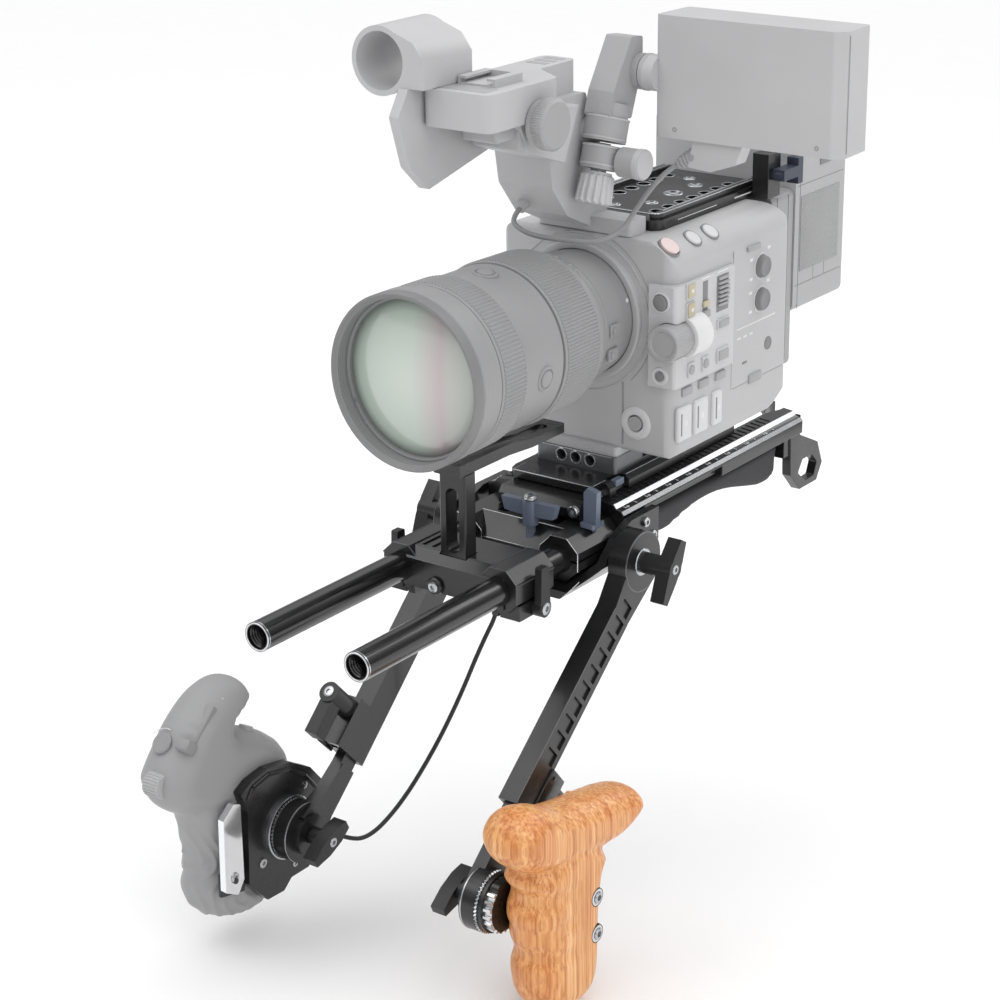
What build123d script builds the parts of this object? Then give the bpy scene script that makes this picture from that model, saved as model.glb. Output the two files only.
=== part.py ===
"""Cinema camera rig: a shoulder base with 15 mm rods, two folding grip arms, a lens support and the camera,
lens, handle, monitor and battery that it carries.

Work frame, millimetres: X is to the camera's left, the lens looks along -Y and Z is up. The rods' axes lie
at Z = 0 and their front ends at Y = 0. Every piece is exported relative to the tripod socket's mouth.
"""
from build123d import *
from math import cos, radians, sin, tan
import os

# ---- driving dimensions -------------------------------------------------------------------------
ROD_RADIUS, ROD_WALL, ROD_OFFSET, ROD_LENGTH = 7.5, 1.5, 30.0, 200.0
ROD_THREAD = 15.0                  # threaded depth at each rod's front end
SLIDING = 0.05                     # radial clearance of a shaft or rod in its bore
GAP = 0.4                          # clearance between bodies that move apart

TRIPOD_Y, UNDERSIDE_Z, TRIPOD_RADIUS = 176.0, -17.0, 4.76
QUARTER_INCH = 3.175               # radius of a quarter-inch accessory hole
ORIGIN = (0.0, TRIPOD_Y, UNDERSIDE_Z)

BASE_HALF, BASE_FRONT, BASE_BACK, BASE_BOTTOM, BASE_TOP = 43.0, 200.5, 386.0, 6.0, 21.5
BLOCK_FRONT, BLOCK_BACK, BLOCK_TOP, COLLAR_RADIUS = 162.0, 200.0, 11.5, 12.5

HUB_Y, HUB_Z, HUB_RADIUS, ARM_INNER, ARM_OUTER = 191.8, -5.0, 16.0, 50.0, 61.0
TUBE_TOP, TUBE_BOTTOM, TUBE_END, TUBE_WALL = 3.4, -13.6, 143.0, 2.2
LOWER_HUB_U = 188.0
LEVER_Y, LEVER_Z = 126.0, -11.2    # clamp screws of the lens support
CLAMP_X, CLAMP_Y = 8.0, 168.0      # upright screw of the rod clamp's knob
RELEASE_X, RELEASE_Y = 35.5, 183.0 # upright screw of the quick-release lever
RISER_X, RISER_Z, RISER_BACK = 24.0, 17.0, 200.2
ARMS = {                           # side: sign of X, angle below level, lower hub's offset, lever's side
    "left": (1, 40.0, -14.5, -1),
    "right": (-1, 43.3, -1.5, 1),
}
PIVOT_RADIUS, GRIP_PIN_RADIUS = 4.0, 3.0
CLAMP_U, CLAMP_OUT, CLAMP_SCREW = 123.0, 55.5, 2.5   # arm clamp screw: along the arm, out in X, radius
DISC_FACE = 64.0                   # outer face of the lower rosette disc
GRIP_FACE = 72.0                   # inner face of the grip handles
SCREW_Y, SCREW_Z = 87.0, (-135.5, -155.5)   # cap screws in the wooden grip
STICK_Y, STICK_Z, STICK_TILT = 47.0, -86.0, 26.0
THUMB_DIAL_Y, THUMB_DIAL_Z, THUMB_DIAL_RADIUS = -12.5, -89.0, 6.5
STRAP_Y, STRAP_Z = 15.0, -148.0    # axis of the grip's release lever

LENS_Z, LENS_FRONT, LENS_RADIUS = 109.6, 76.0, 43.8
BODY_FRONT, BODY_BACK, BODY_LOW, BODY_TOP = 225.0, 342.0, 38.5, 152.0
BODY_RIGHT, BODY_LEFT = -49.0, 57.0
PLATE_TOP = 35.0                   # camera plate, under the casing
EDGE_RADIUS = 20.0                 # the casing's large rounded edge
PANEL_INNER, PANEL_OUTER, PANEL_FRONT = 49.0, 59.5, 221.6
PANEL_BACK, PANEL_LOW, PANEL_TOP = 280.0, 78.0, 131.0
DIAL_X, DIAL_FRONT, DIAL_Z, DIAL_RADIUS, DIAL_SHAFT = 56.0, 215.0, 103.0, 9.5, 3.0
RECORD_X, RECORD_Y, RECORD_Z, RECORD_TILT, RECORD_RADIUS = 48.3, 232.7, 148.6, 35.0, 5.3
FRONT_BUTTON_X, FRONT_BUTTON_Z, FRONT_BUTTON_RADIUS = 34.4, 55.0, 3.9
MOUNT_RADIUS, RING_BORE = 33.0, 38.0   # lens bayonet, and the tube the lens rings turn on
DECK_BOTTOM, DECK_TOP = 21.9, 26.0

MONITOR_PIVOT_Y, MONITOR_PIVOT_Z = 243.0, 233.0
POST_X, POST_Y, POST_Z, POST_LEAN = 16.0, 212.0, 170.0, 18.0
KNOB_Y, KNOB_Z = 160.0, 221.0      # axis of the handle's knob
MIC_X, MIC_Z, MIC_FRONT, MIC_BACK = -38.0, 252.0, 113.0, 151.0
SMALL_SHAFT = 3.0                  # shaft radius of the handle's knob and the monitor's pivot
BRACKET_HOLE_Y, BRACKET_HOLE_Z = 340.0, 165.0

GRIP_CABLE_DIAMETER, MONITOR_CABLE_DIAMETER = 2.4, 2.6
GRIP_CABLE = [(-69.2, 80.6, -150), (-69.2, 88.5, -150), (-63.5, 96, -158.5), (-55, 106, -161),
              (-46, 123, -145), (-38, 142, -119), (-29, 154, -90), (-21, 162, -62), (-12, 169, -38),
              (-12, 169, -19.6)]
MONITOR_CABLE = [(52, 245, 192), (43, 243, 187), (34.5, 238.5, 177), (31, 228, 166), (32, 215, 158.5),
                 (26, 203, 154), (10, 196, 154.5), (-5, 190, 156), (-15, 189, 159.5), (-19, 192.1, 162.5),
                 (-19, 198.0, 166.2)]


# ---- solids from plain words --------------------------------------------------------------------
def block(x0, x1, y0, y1, z0, z1):
    """A box between two corners."""
    return Pos((x0 + x1) / 2, (y0 + y1) / 2, (z0 + z1) / 2) * Box(abs(x1 - x0), abs(y1 - y0), abs(z1 - z0))


def bar_x(x0, x1, y, z, radius):
    """A round bar along X; bar_y and bar_z do the same along the other axes."""
    return Pos((x0 + x1) / 2, y, z) * Rot(0, 90, 0) * Cylinder(radius, abs(x1 - x0))


def bar_y(x, y0, y1, z, radius):
    return Pos(x, (y0 + y1) / 2, z) * Rot(90, 0, 0) * Cylinder(radius, abs(y1 - y0))


def bar_z(x, y, z0, z1, radius):
    return Pos(x, y, (z0 + z1) / 2) * Cylinder(radius, abs(z1 - z0))


def outline(points, corner=0.0):
    """A flat polygon, all of its corners rounded to one radius."""
    face = Polygon(*points, align=None)
    return fillet(face.vertices(), corner) if corner else face


def rounded(points):
    """A flat polygon from (a, b, radius) corners, each rounded to its own radius."""
    face = Polygon(*[(a, b) for a, b, _ in points], align=None)
    for a, b, radius in points:
        if radius:
            face = fillet(face.vertices().sort_by_distance((a, b, 0))[0], radius)
    return face


def plate_x(points, x0, x1, corner=0.0):
    """A (Y, Z) outline given thickness from x0 to x1."""
    plane = Plane(origin=(min(x0, x1), 0, 0), x_dir=(0, 1, 0), z_dir=(1, 0, 0))
    return extrude(plane * outline(points, corner), abs(x1 - x0), dir=(1, 0, 0))


def plate_y(points, y0, y1, corner=0.0):
    """An (X, Z) outline given thickness from y0 to y1."""
    plane = Plane(origin=(0, max(y0, y1), 0), x_dir=(1, 0, 0), z_dir=(0, -1, 0))
    return extrude(plane * outline(points, corner), abs(y1 - y0), dir=(0, -1, 0))


def plate_z(points, z0, z1, corner=0.0):
    """An (X, Y) outline given thickness from z0 to z1."""
    return extrude(Plane.XY.offset(min(z0, z1)) * outline(points, corner), abs(z1 - z0), dir=(0, 0, 1))


def mirrored(points):
    """A half outline on +X, completed by its mirror image."""
    return points + [(-x, z) for x, z in reversed(points)]


def octagon(x):
    """The rod collars' outline around a rod's axis."""
    angles = [radians(a) for a in range(22, 360, 45)]
    return [(x + COLLAR_RADIUS * cos(a), COLLAR_RADIUS * sin(a)) for a in angles]


def solid_frame(origin, x_dir, z_dir, shape):
    """A shape built in its own axes, placed on a plane."""
    return Plane(origin=origin, x_dir=x_dir, z_dir=z_dir).location * shape


def save(name, shape):
    placed = Pos(-ORIGIN[0], -ORIGIN[1], -ORIGIN[2]) * shape
    export_step(placed, f"parts/{name}.step")


# ---- fixed base ---------------------------------------------------------------------------------
def base_plate():
    """Stepped dovetail plate: deck, two scale faces and a side wall that is recessed in the middle."""
    half = [(25, BASE_TOP), (27.5, 19), (36.5, 18), (38.5, 15.8), (41.5, 15), (BASE_HALF, 13),
            (BASE_HALF, BASE_BOTTOM)]
    plate = plate_y(mirrored(half), BASE_FRONT, BASE_BACK)
    for side in (1, -1):
        plate -= block(side * 38, side * 50, 232, 298, 0, 11.5)
        plate -= plate_z([(side * 27, BASE_BACK - 16), (side * 30, BASE_BACK - 4), (side * 30, BASE_BACK + 5),
                          (side * 26, BASE_BACK + 5), (side * 24, BASE_BACK - 4)], 12, 30)
    for y in (300, 330, 360):
        plate -= bar_z(0, y, 0, 30, QUARTER_INCH)
    hump = plate_y([(-22, BASE_TOP - 1), (-19, 26), (19, 26), (22, BASE_TOP - 1)], 374, BASE_BACK - 1)
    return plate + hump


def rod_block():
    """Front clamp block: a sloping face between two octagonal collars, bored for the rods."""
    slope = [(BLOCK_FRONT, -11), (BLOCK_FRONT, 1), (172, BLOCK_TOP), (BLOCK_BACK, BLOCK_TOP),
             (BLOCK_BACK, -11)]
    body = plate_x(slope, -34, 34)
    for side in (1, -1):
        x = side * ROD_OFFSET
        body += plate_y(octagon(x), BLOCK_FRONT - 1, BLOCK_BACK)
        body -= bar_y(x, BLOCK_FRONT - 5, BLOCK_BACK + 5, 0, ROD_RADIUS + SLIDING)
        body -= block(x + side * 5, x + side * 20, BLOCK_FRONT - 5, BLOCK_BACK - 8, -0.6, 0.6)
        body -= block(side * 13, side * 19, 176, 190, 7.5, 20)
    body -= bar_z(CLAMP_X, CLAMP_Y, -4, 20, 2.5 + SLIDING)
    body -= bar_z(RELEASE_X, RELEASE_Y, 9, 20, 1.75 + SLIDING)
    body -= block(-12, 12, 150, 210, -20, -7.6)
    return body


def riser_block():
    """Rounded bar under the quick-release deck, held by a round-headed screw."""
    profile = [(184, 11.8), (184, 17.5), (187, 21.2), (RISER_BACK, 21.2), (RISER_BACK, 11.8)]
    body = plate_x(profile, -24, 27, 1.5)
    return body - bar_y(RISER_X, 180, 192, RISER_Z, 1.5 + SLIDING)


def arm_bracket():
    """U-shaped bracket under the rods, with a pivot plate on each side and the tripod socket."""
    wide, deep, rise, wall, chamfer = 49.5, UNDERSIDE_Z, 13.0, 4.5, 12.0
    inset = wall * 0.41            # how far a 45 degree corner moves when the wall is offset
    outer = mirrored([(wide - chamfer, deep), (wide, deep + chamfer), (wide, rise)])
    inner = mirrored([(wide - chamfer - inset, deep + wall), (wide - wall, deep + chamfer + inset),
                      (wide - wall, rise + 1)])
    body = plate_y(outer, 151, 224) - plate_y(inner, 150, 225)
    front_cut = [(140, deep + wall), (156, deep + wall), (167, -9), (178, 1), (188, 9), (199, rise),
                 (199, 20), (140, 20)]
    rear_cut = [(203, deep + wall), (210, -10), (225, -6), (230, -6), (230, -12.5), (230, deep + wall)]
    body -= plate_x(front_cut, -60, 60)
    body -= plate_x(rear_cut, -60, 60)
    body += bar_z(0, TRIPOD_Y, deep + 1, -8.2, 10)
    body -= bar_z(0, TRIPOD_Y, deep - 1, -5, TRIPOD_RADIUS)
    body += bar_z(-12, 169, deep - 2.5, deep + 1, 3)
    body -= bar_x(-60, 60, HUB_Y, HUB_Z, PIVOT_RADIUS + SLIDING)
    return body


def shoulder_pad():
    """Arched cushion under the plate."""
    arch = [(226, 5.6), (241, -12), (249, -14.5), (262, -12.5), (275, -9.6), (290, -8.7), (305, -9.2),
            (321, -12.3), (336, -16.1), (348, -19), (362, -19), (369, -15), (370, 5.6)]
    return plate_x(arch, -37.5, 37.5)


def rear_bracket():
    """Rear plate with a D-shaped strap loop on each side."""
    loop = [(387, 16), (387, 4), (408, -6), (414, -20), (408, -29.5), (388, -29.5), (377, -18), (376, 5.6),
            (386.4, 5.6), (386.4, 16)]
    eye = [(391, -12), (401.5, -12), (407.5, -18), (404.5, -25.5), (395, -26), (386, -19)]
    body = block(-40, 40, 370.4, 386, -6, 5.6)
    for side in (1, -1):
        body += plate_x(loop, side * 35.5, side * 41)
        body -= plate_x(eye, side * 30, side * 45, 1.5)
    return body


def base_screws():
    """Every silver screw that holds the base together, as separate solids."""
    riser_screw = bar_y(RISER_X, 181.5, 183.9, RISER_Z, 3.2) + bar_y(RISER_X, 183, 191, RISER_Z, 1.45)
    screws = [riser_screw - bar_y(RISER_X, 181, 182.4, RISER_Z, 1.5)]
    for side in (1, -1):
        for y, z in ((211, 8.2), (218, -1)):
            head = bar_x(side * 49.6, side * 51.2, y, z, 2.6)
            screws.append(head - bar_x(side * 50.4, side * 52, y, z, 1.2))
        screws.append(bar_y(side * 30, 386.1, 388, 10, 3) - bar_y(side * 30, 387, 389, 10, 1.4))
    return Compound(children=screws)


# ---- rods and their clamp -----------------------------------------------------------------------
def rod(side):
    """Hollow rod whose front mouth takes an M12 thread."""
    x = side * ROD_OFFSET
    bore = ROD_RADIUS - ROD_WALL - 0.3
    tube = bar_y(x, 0, ROD_LENGTH, 0, ROD_RADIUS) - bar_y(x, -1, ROD_LENGTH + 1, 0, bore)
    return tube - bar_y(x, -1, ROD_THREAD, 0, ROD_RADIUS - ROD_WALL)


def rod_clamp_knob():
    """T-shaped wing knob on an upright screw."""
    stem = bar_z(CLAMP_X, CLAMP_Y, -3, 12.3, 2.5)
    column = bar_z(CLAMP_X, CLAMP_Y, BLOCK_TOP + GAP, 25, 4.2)
    wings = plate_y([(-9, 24.5), (-7, 17.5), (0, 17), (8, 17), (16, 17), (23, 17.5), (25, 24.5)],
                    CLAMP_Y - 2.1, CLAMP_Y + 2.1)
    socket = bar_z(CLAMP_X, CLAMP_Y, 25, 27.5, 2.8) - bar_z(CLAMP_X, CLAMP_Y, 26, 29, 1.3)
    return stem + column + wings + socket


# ---- quick release ------------------------------------------------------------------------------
def quick_release_deck():
    """Sliding deck that rides on the dovetail, with an overhanging front lip."""
    deck = plate_z([(-25, 198), (25, 198), (25, 330), (-25, 330)], DECK_BOTTOM, DECK_TOP, 1.5)
    for side in (1, -1):
        jaw = [(side * 25, DECK_TOP), (side * 25, DECK_BOTTOM), (side * 28.2, 19.6), (side * 31, 19.2),
               (side * 31, 23.5), (side * 28.5, DECK_TOP)]
        deck += plate_y(jaw, 206, 330)
    deck -= block(23.5, 40, 212, 224, 15, 30)
    for y in (300, 318):
        deck -= bar_z(0, y, 10, 30, QUARTER_INCH)
    return deck


def quick_release_lever():
    """Upright locking lever beside the deck's front corner."""
    foot = plate_z([(31, 178), (40, 178), (40, 188), (31, 188)], 11.9, 14, 1.5)
    blade = plate_y([(32, 13.5), (39.5, 13.5), (40, 31), (34, 32.5), (32, 30)], 180.5, 184.5)
    return foot + blade + bar_z(RELEASE_X, RELEASE_Y, 9.2, 12, 1.75)


def release_button():
    """Small push button in the deck's side pocket."""
    return block(25.9, 29.5, 214, 222, 22.1, 25.6)


def camera_plate():
    """Machined plate between the deck and the camera, with three accessory holes in its front edge."""
    plate = plate_z([(-25, 220), (25, 220), (25, 322), (-25, 322)], DECK_TOP, PLATE_TOP, 2)
    for x in (-9, 0, 9):
        plate -= bar_y(x, 215, 230, PLATE_TOP - 4, 2.75)
    plate -= block(20, 30, 246, 292, 28.5, 32.5)
    return plate


# ---- camera -------------------------------------------------------------------------------------
def camera_body():
    """Main casing: rounded upper left edge, stepped foot and a pocket for the control panel."""
    front = [(BODY_RIGHT, BODY_LOW, 7), (BODY_LEFT, BODY_LOW, 5), (BODY_LEFT, BODY_TOP, EDGE_RADIUS),
             (BODY_RIGHT, BODY_TOP, 11)]
    side = [(BODY_FRONT, BODY_LOW, 3), (290, BODY_LOW, 0), (322, BODY_LOW + 2, 0),
            (BODY_BACK, BODY_LOW + 13, 3), (BODY_BACK, BODY_TOP, 14), (BODY_FRONT, BODY_TOP, 3)]
    plan = [(BODY_RIGHT, BODY_FRONT, 4), (BODY_LEFT, BODY_FRONT, 8), (BODY_LEFT, BODY_BACK, 7),
            (BODY_RIGHT, BODY_BACK, 5)]
    across = Plane(origin=(0, BODY_BACK, 0), x_dir=(1, 0, 0), z_dir=(0, -1, 0))
    along = Plane(origin=(BODY_RIGHT - 1, 0, 0), x_dir=(0, 1, 0), z_dir=(1, 0, 0))
    body = extrude(across * rounded(front), BODY_BACK - BODY_FRONT, dir=(0, -1, 0))
    body &= extrude(along * rounded(side), BODY_LEFT - BODY_RIGHT + 2, dir=(1, 0, 0))
    body &= extrude(Plane.XY * rounded(plan), BODY_TOP + 1, dir=(0, 0, 1))
    body += plate_z([(-24, 222), (24, 222), (24, 320), (-24, 320)], PLATE_TOP, 40, 2)
    body -= block(PANEL_INNER, BODY_LEFT + 1, BODY_FRONT - 1, PANEL_BACK, PANEL_LOW, PANEL_TOP)
    body -= bar_y(DIAL_X, BODY_FRONT - 1, DIAL_FRONT + 32, DIAL_Z, DIAL_RADIUS + 1)
    body -= record_axis(Pos(0, 0, -1) * Cylinder(RECORD_RADIUS + GAP, 12))
    body -= bar_y(0, BODY_FRONT - 3, BODY_FRONT + 6, LENS_Z, MOUNT_RADIUS + 0.3)
    body -= bar_y(FRONT_BUTTON_X, BODY_FRONT - 3, BODY_FRONT + 4, FRONT_BUTTON_Z, FRONT_BUTTON_RADIUS + GAP)
    for y in (300, 318):
        body -= bar_z(0, y, 30, 46, QUARTER_INCH)
    return body


def side_panel():
    """Control panel that fills the body's pocket, with the filter dial's housing at its front."""
    plan = [(PANEL_INNER, PANEL_BACK, 0), (PANEL_OUTER, PANEL_BACK, 2), (PANEL_OUTER, PANEL_FRONT, 2),
            (PANEL_INNER - 6, PANEL_FRONT, 1), (PANEL_INNER - 6, BODY_FRONT - 0.1, 0),
            (PANEL_INNER, BODY_FRONT - 0.1, 0)]
    panel = extrude(Plane.XY.offset(PANEL_LOW) * rounded(plan), PANEL_TOP - PANEL_LOW, dir=(0, 0, 1))
    panel += bar_y(DIAL_X, DIAL_FRONT + 17, DIAL_FRONT + 32, DIAL_Z, DIAL_RADIUS + 1)
    panel -= bar_y(DIAL_X, DIAL_FRONT - 1, DIAL_FRONT + 17, DIAL_Z, DIAL_RADIUS + GAP)
    panel -= bar_y(DIAL_X, DIAL_FRONT, DIAL_FRONT + 28, DIAL_Z, DIAL_SHAFT + SLIDING)
    for z in (117.3, 127.2):
        panel += block(PANEL_OUTER - 0.1, PANEL_OUTER + 0.8, 231, 239, z - 4, z + 4)
    for y in (236.4, 250.2):
        panel += block(PANEL_OUTER - 0.1, PANEL_OUTER + 1, y - 3, y + 3, 81.5, 89)
    panel += block(PANEL_OUTER - 0.1, PANEL_OUTER + 1, 261.5, 273, 82, 89.5)
    panel += block(PANEL_OUTER - 0.1, PANEL_OUTER + 1, 261.5, 273, 100, 105.5)
    return panel


def record_axis(shape):
    """The record button's own axes on the casing's rounded edge: local Z points out of it."""
    return Pos(RECORD_X, RECORD_Y, RECORD_Z) * Rot(0, RECORD_TILT, 0) * shape


def record_button():
    return record_axis(Pos(0, 0, -1.3) * Cylinder(RECORD_RADIUS, 5))


def front_button():
    return bar_y(FRONT_BUTTON_X, BODY_FRONT - 1.5, BODY_FRONT + 2.5, FRONT_BUTTON_Z, FRONT_BUTTON_RADIUS)


def side_dial():
    """Large filter dial at the panel's front, turning about an axis along Y."""
    dial = bar_y(DIAL_X, DIAL_FRONT, DIAL_FRONT + 16.5, DIAL_Z, DIAL_RADIUS)
    return dial + bar_y(DIAL_X, DIAL_FRONT + 16, DIAL_FRONT + 26, DIAL_Z, DIAL_SHAFT)


def top_plate():
    """Accessory plate with rows of threaded holes and one raised rail on each side."""
    plate = plate_z([(-30, 243), (35, 243), (35, 350), (-30, 350)], BODY_TOP + 0.1, 157.5, 7)
    rail = plate_z([(-28, 246), (33, 246), (33, 348), (-28, 348)], 157.4, 160.0, 6)
    rail -= block(-23, 28, 240, 352, 157.6, 165)
    plate += rail
    for y in range(262, 345, 12):
        for x in (-17, 22):
            plate -= bar_z(x, y, 140, 170, QUARTER_INCH)
    return plate


def cable_bracket():
    """Upright bracket on the plate's rear corner that holds cables."""
    upright = block(36.2, 46, BRACKET_HOLE_Y - 6, BRACKET_HOLE_Y + 7, BODY_TOP + 0.1, 176.5)
    return upright - bar_x(30, 50, BRACKET_HOLE_Y, BRACKET_HOLE_Z, 2.5 + SLIDING)


def cable_bracket_knob():
    """Small bar knob that closes the cable bracket."""
    knob = bar_x(38, 52.5, BRACKET_HOLE_Y, BRACKET_HOLE_Z, 2.5)
    knob += block(46.4, 53.5, BRACKET_HOLE_Y - 2, BRACKET_HOLE_Y + 18, 162, 168)
    return knob + block(46.4, 53.5, 353, 358, 158, 172)


def battery_plate():
    """Rear housing that carries the battery's lock."""
    body = plate_y([(-44, 52), (44, 52), (44, 151.5), (-44, 151.5)], BODY_BACK + 0.1, 365.6, 4)
    return body - plate_y([(-12, 74), (12, 74), (16, 153), (-16, 153)], 361, 370)


def battery():
    """Battery with a wedge that drops into the rear housing."""
    body = plate_y([(-45, 81.5), (45, 81.5), (45, 186), (-45, 186)], 366.0, 421, 5)
    return body + plate_y([(-11.2, 76), (11.2, 76), (14.8, 146), (-14.8, 146)], 361.5, 367)


# ---- lens ---------------------------------------------------------------------------------------
def turned(stations, bore=0.0):
    """A turned ring about the lens axis from (y, radius) pairs; one solid per stretch, joined."""
    shape = None
    for (y0, r0), (y1, r1) in zip(stations, stations[1:]):
        if y1 - y0 < 0.01:
            continue
        length = y1 - y0
        stretch = Cylinder(r0, length) if r0 == r1 else Cone(r0, r1, length)
        piece = Pos(0, y0 + length / 2, LENS_Z) * Rot(-90, 0, 0) * stretch
        shape = piece if shape is None else shape + piece
    if bore:
        y0, y1 = stations[0][0], stations[-1][0]
        shape -= bar_y(0, y0 - 1, y1 + 1, LENS_Z, bore)
    return shape


def lens_barrel():
    """Fixed tube with its front rim, middle band and bayonet end."""
    tube = turned([(LENS_FRONT + 12, RING_BORE), (205, RING_BORE)])
    rim = turned([(LENS_FRONT, LENS_RADIUS), (92, LENS_RADIUS), (92, 42.6), (97.6, 42.6)])
    band = turned([(119.4, 41.6), (150.6, 41.2)])
    rear = turned([(183.4, 40.0), (192, 37.5), (192, 35), (213, 34.2), (213, MOUNT_RADIUS),
                   (230.5, MOUNT_RADIUS)])
    bore = bar_y(0, LENS_FRONT - 1, 112, LENS_Z, 36.5) + bar_y(0, 100, 235, LENS_Z, 24)
    funnel = Pos(0, LENS_FRONT - 0.5, LENS_Z) * Rot(-90, 0, 0) * Pos(0, 0, 6.5) * Cone(39.5, 36.5, 13)
    return tube + rim + band + rear - bore - funnel


def focus_ring():
    return turned([(98.0, 43.2), (119.0, 42.8)], RING_BORE + SLIDING)


def zoom_ring():
    return turned([(151.0, 42.0), (183.0, 41.4)], RING_BORE + SLIDING)


def lens_glass():
    """Front element: a domed disc inside the rim."""
    dome = Pos(0, 92 + 105, LENS_Z) * Sphere(110)
    disc = bar_y(0, 87, 100, LENS_Z, 36.4)
    return disc & dome


# ---- handle, microphone holder and monitor --------------------------------------------------------
def handle():
    """Top handle: front block, pedestal on the camera and a grip rail running back."""
    top = plate_z([(-20, 121), (20, 121), (20, 176), (0, 190), (0, 222), (-20, 222)], 222, 240, 5)
    shoe = block(-11, 11, 138, 160, 239.5, 244) - block(-9.3, 9.3, 130, 158, 241, 242.8)
    shoe -= block(-6, 6, 130, 158, 242, 246)
    leg = plate_x([(196, 224), (190, 196), (193, 180), (206, 164), (228, 154), (241.5, BODY_TOP + 0.1),
                   (241.5, 172), (232, 196), (222, 224)], -28, 5, 2)
    foot = plate_z([(-28, 226.5), (30, 226.5), (30, 241.5), (-28, 241.5)], BODY_TOP + 0.1, 160, 3)
    under = plate_x([(150, 222.5), (158, 206), (188, 196), (200, 222.5)], -16, 16)
    body = top + shoe + leg + foot + under
    gland = solid_frame((-19, 198.0, 166.2), (1, 0, 0), (0, 0.848, 0.53), Pos(0, 0, 3) * Cylinder(3, 6))
    body += gland
    return body - bar_x(10, 21, KNOB_Y, KNOB_Z, SMALL_SHAFT + SLIDING)


def handle_knob():
    """Large knurled knob on the handle's left side."""
    stem = bar_x(12, 20.6, KNOB_Y, KNOB_Z, SMALL_SHAFT)
    return stem + bar_x(20.4, 24, KNOB_Y, KNOB_Z, 11.2) + bar_x(23.9, 31, KNOB_Y, KNOB_Z, 12.5)


def mic_holder():
    """Microphone ring, its slanted mount block and the flat guard plate below it."""
    ring = bar_y(MIC_X, MIC_FRONT, MIC_BACK, MIC_Z, 16.6)
    arm = plate_y([(-36, 268.5), (-18, 262), (-12, 254), (-12, 240.4), (-26, 240.4), (-34, 238)],
                  MIC_FRONT, MIC_BACK)
    guard = plate_x([(104, 228), (112, 240.4), (150, 240.4), (175, 224), (175, 201), (126, 190), (112, 203)],
                    -26, -20.4, 2)
    body = ring + arm + guard + block(-26, -20.4, 118, 148, 235, 246)
    return body - bar_y(MIC_X, MIC_FRONT - 3, MIC_BACK + 4, MIC_Z, 14.0)


def post_frame(shape):
    """The monitor post's own axes: local Z runs up the leaning post."""
    lean = radians(POST_LEAN)
    return solid_frame((POST_X, POST_Y, POST_Z), (1, 0, 0), (0, sin(lean), cos(lean)), shape)


def monitor_arm():
    """Fixed half of the monitor's joint: a cross cylinder and a socket for the post."""
    socket = post_frame(Pos(0, 0, 24) * Cylinder(10, 12) - Pos(0, 0, 24) * Cylinder(4.0 + SLIDING, 20))
    cross = bar_x(27.6, 41, 221, 191.5, 7.5)
    return socket + cross + bar_x(22, 28, 221, 191, 4.5)


def monitor_arm_knob():
    """Tapered fluted knob below the post."""
    stem = Pos(0, 0, 22) * Cylinder(3.95, 18)
    head = Pos(0, 0, 8.6) * Cone(9.6, 8.4, 16)
    for a in range(0, 360, 30):
        head -= Pos(9.0 * cos(radians(a)), 9.0 * sin(radians(a)), 8.6) * Cylinder(0.9, 15)
    return post_frame(head + stem)


def monitor_link():
    """Swivelling link: a collar on the post, a wedge-shaped blade and the tilt boss."""
    collar = post_frame(Pos(0, 0, 38) * Cylinder(11, 12) + Pos(0, 0, 47) * Cylinder(10, 8)
                        - Pos(0, 0, 33) * Cylinder(4.2, 8))
    wedge = [(216, 214), (228, 213), (236, 210), (246, 236), (246, 250), (236, 251), (220, 226)]
    blade = plate_x(wedge, 8, 23, 1.5)
    boss = bar_x(22, 27, MONITOR_PIVOT_Y, MONITOR_PIVOT_Z, 9)
    return collar + blade + boss - bar_x(15, 30, MONITOR_PIVOT_Y, MONITOR_PIVOT_Z, SMALL_SHAFT + SLIDING)


def monitor():
    """Flat display with a bevelled left edge, its pivot disc and pin."""
    case = plate_z([(34.5, 240), (133.5, 240), (139, 245), (138, 268), (36, 268)], 202, 262.5, 2.2)
    screen_recess = block(41, 133, 267, 269, 208, 257)
    disc = bar_x(27.4, 36, MONITOR_PIVOT_Y, MONITOR_PIVOT_Z, 9)
    pin = bar_x(17, 28, MONITOR_PIVOT_Y, MONITOR_PIVOT_Z, SMALL_SHAFT)
    plug_boss = plate_y([(52.5, 188), (66, 187), (80, 192), (84, 202.5), (56, 202.5)], 242, 252, 1)
    return case - screen_recess + disc + pin + plug_boss


# ---- grip arms ----------------------------------------------------------------------------------
def arm_frame(side, shape):
    """The arm's own axes at its upper hub: local X runs down the arm, local Y up and forward."""
    angle = radians(ARMS[side][1])
    return solid_frame((0, HUB_Y, HUB_Z), (0, -cos(angle), -sin(angle)), (-1, 0, 0), shape)


def arm_block(side, u0, u1, v0, v1, x0, x1):
    sign = ARMS[side][0]
    return arm_frame(side, block(u0, u1, v0, v1, -sign * x0, -sign * x1))


def arm_bar(side, u, v, x0, x1, radius):
    """A round bar across the arm, along X."""
    sign = ARMS[side][0]
    return arm_frame(side, Pos(u, v, -sign * (x0 + x1) / 2) * Cylinder(radius, abs(x1 - x0)))


def arm_plate(side, points, x0, x1):
    sign = ARMS[side][0]
    low = min(-sign * x0, -sign * x1)
    return arm_frame(side, extrude(Plane.XY.offset(low) * outline(points), abs(x1 - x0), dir=(0, 0, 1)))


def arm_stud(side, u, v0, v1, x, radius):
    """A round bar standing off the arm, along its local Y."""
    sign = ARMS[side][0]
    stud = Rot(90, 0, 0) * Cylinder(radius, abs(v1 - v0))
    return arm_frame(side, Pos(u, (v0 + v1) / 2, -sign * x) * stud)


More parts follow.
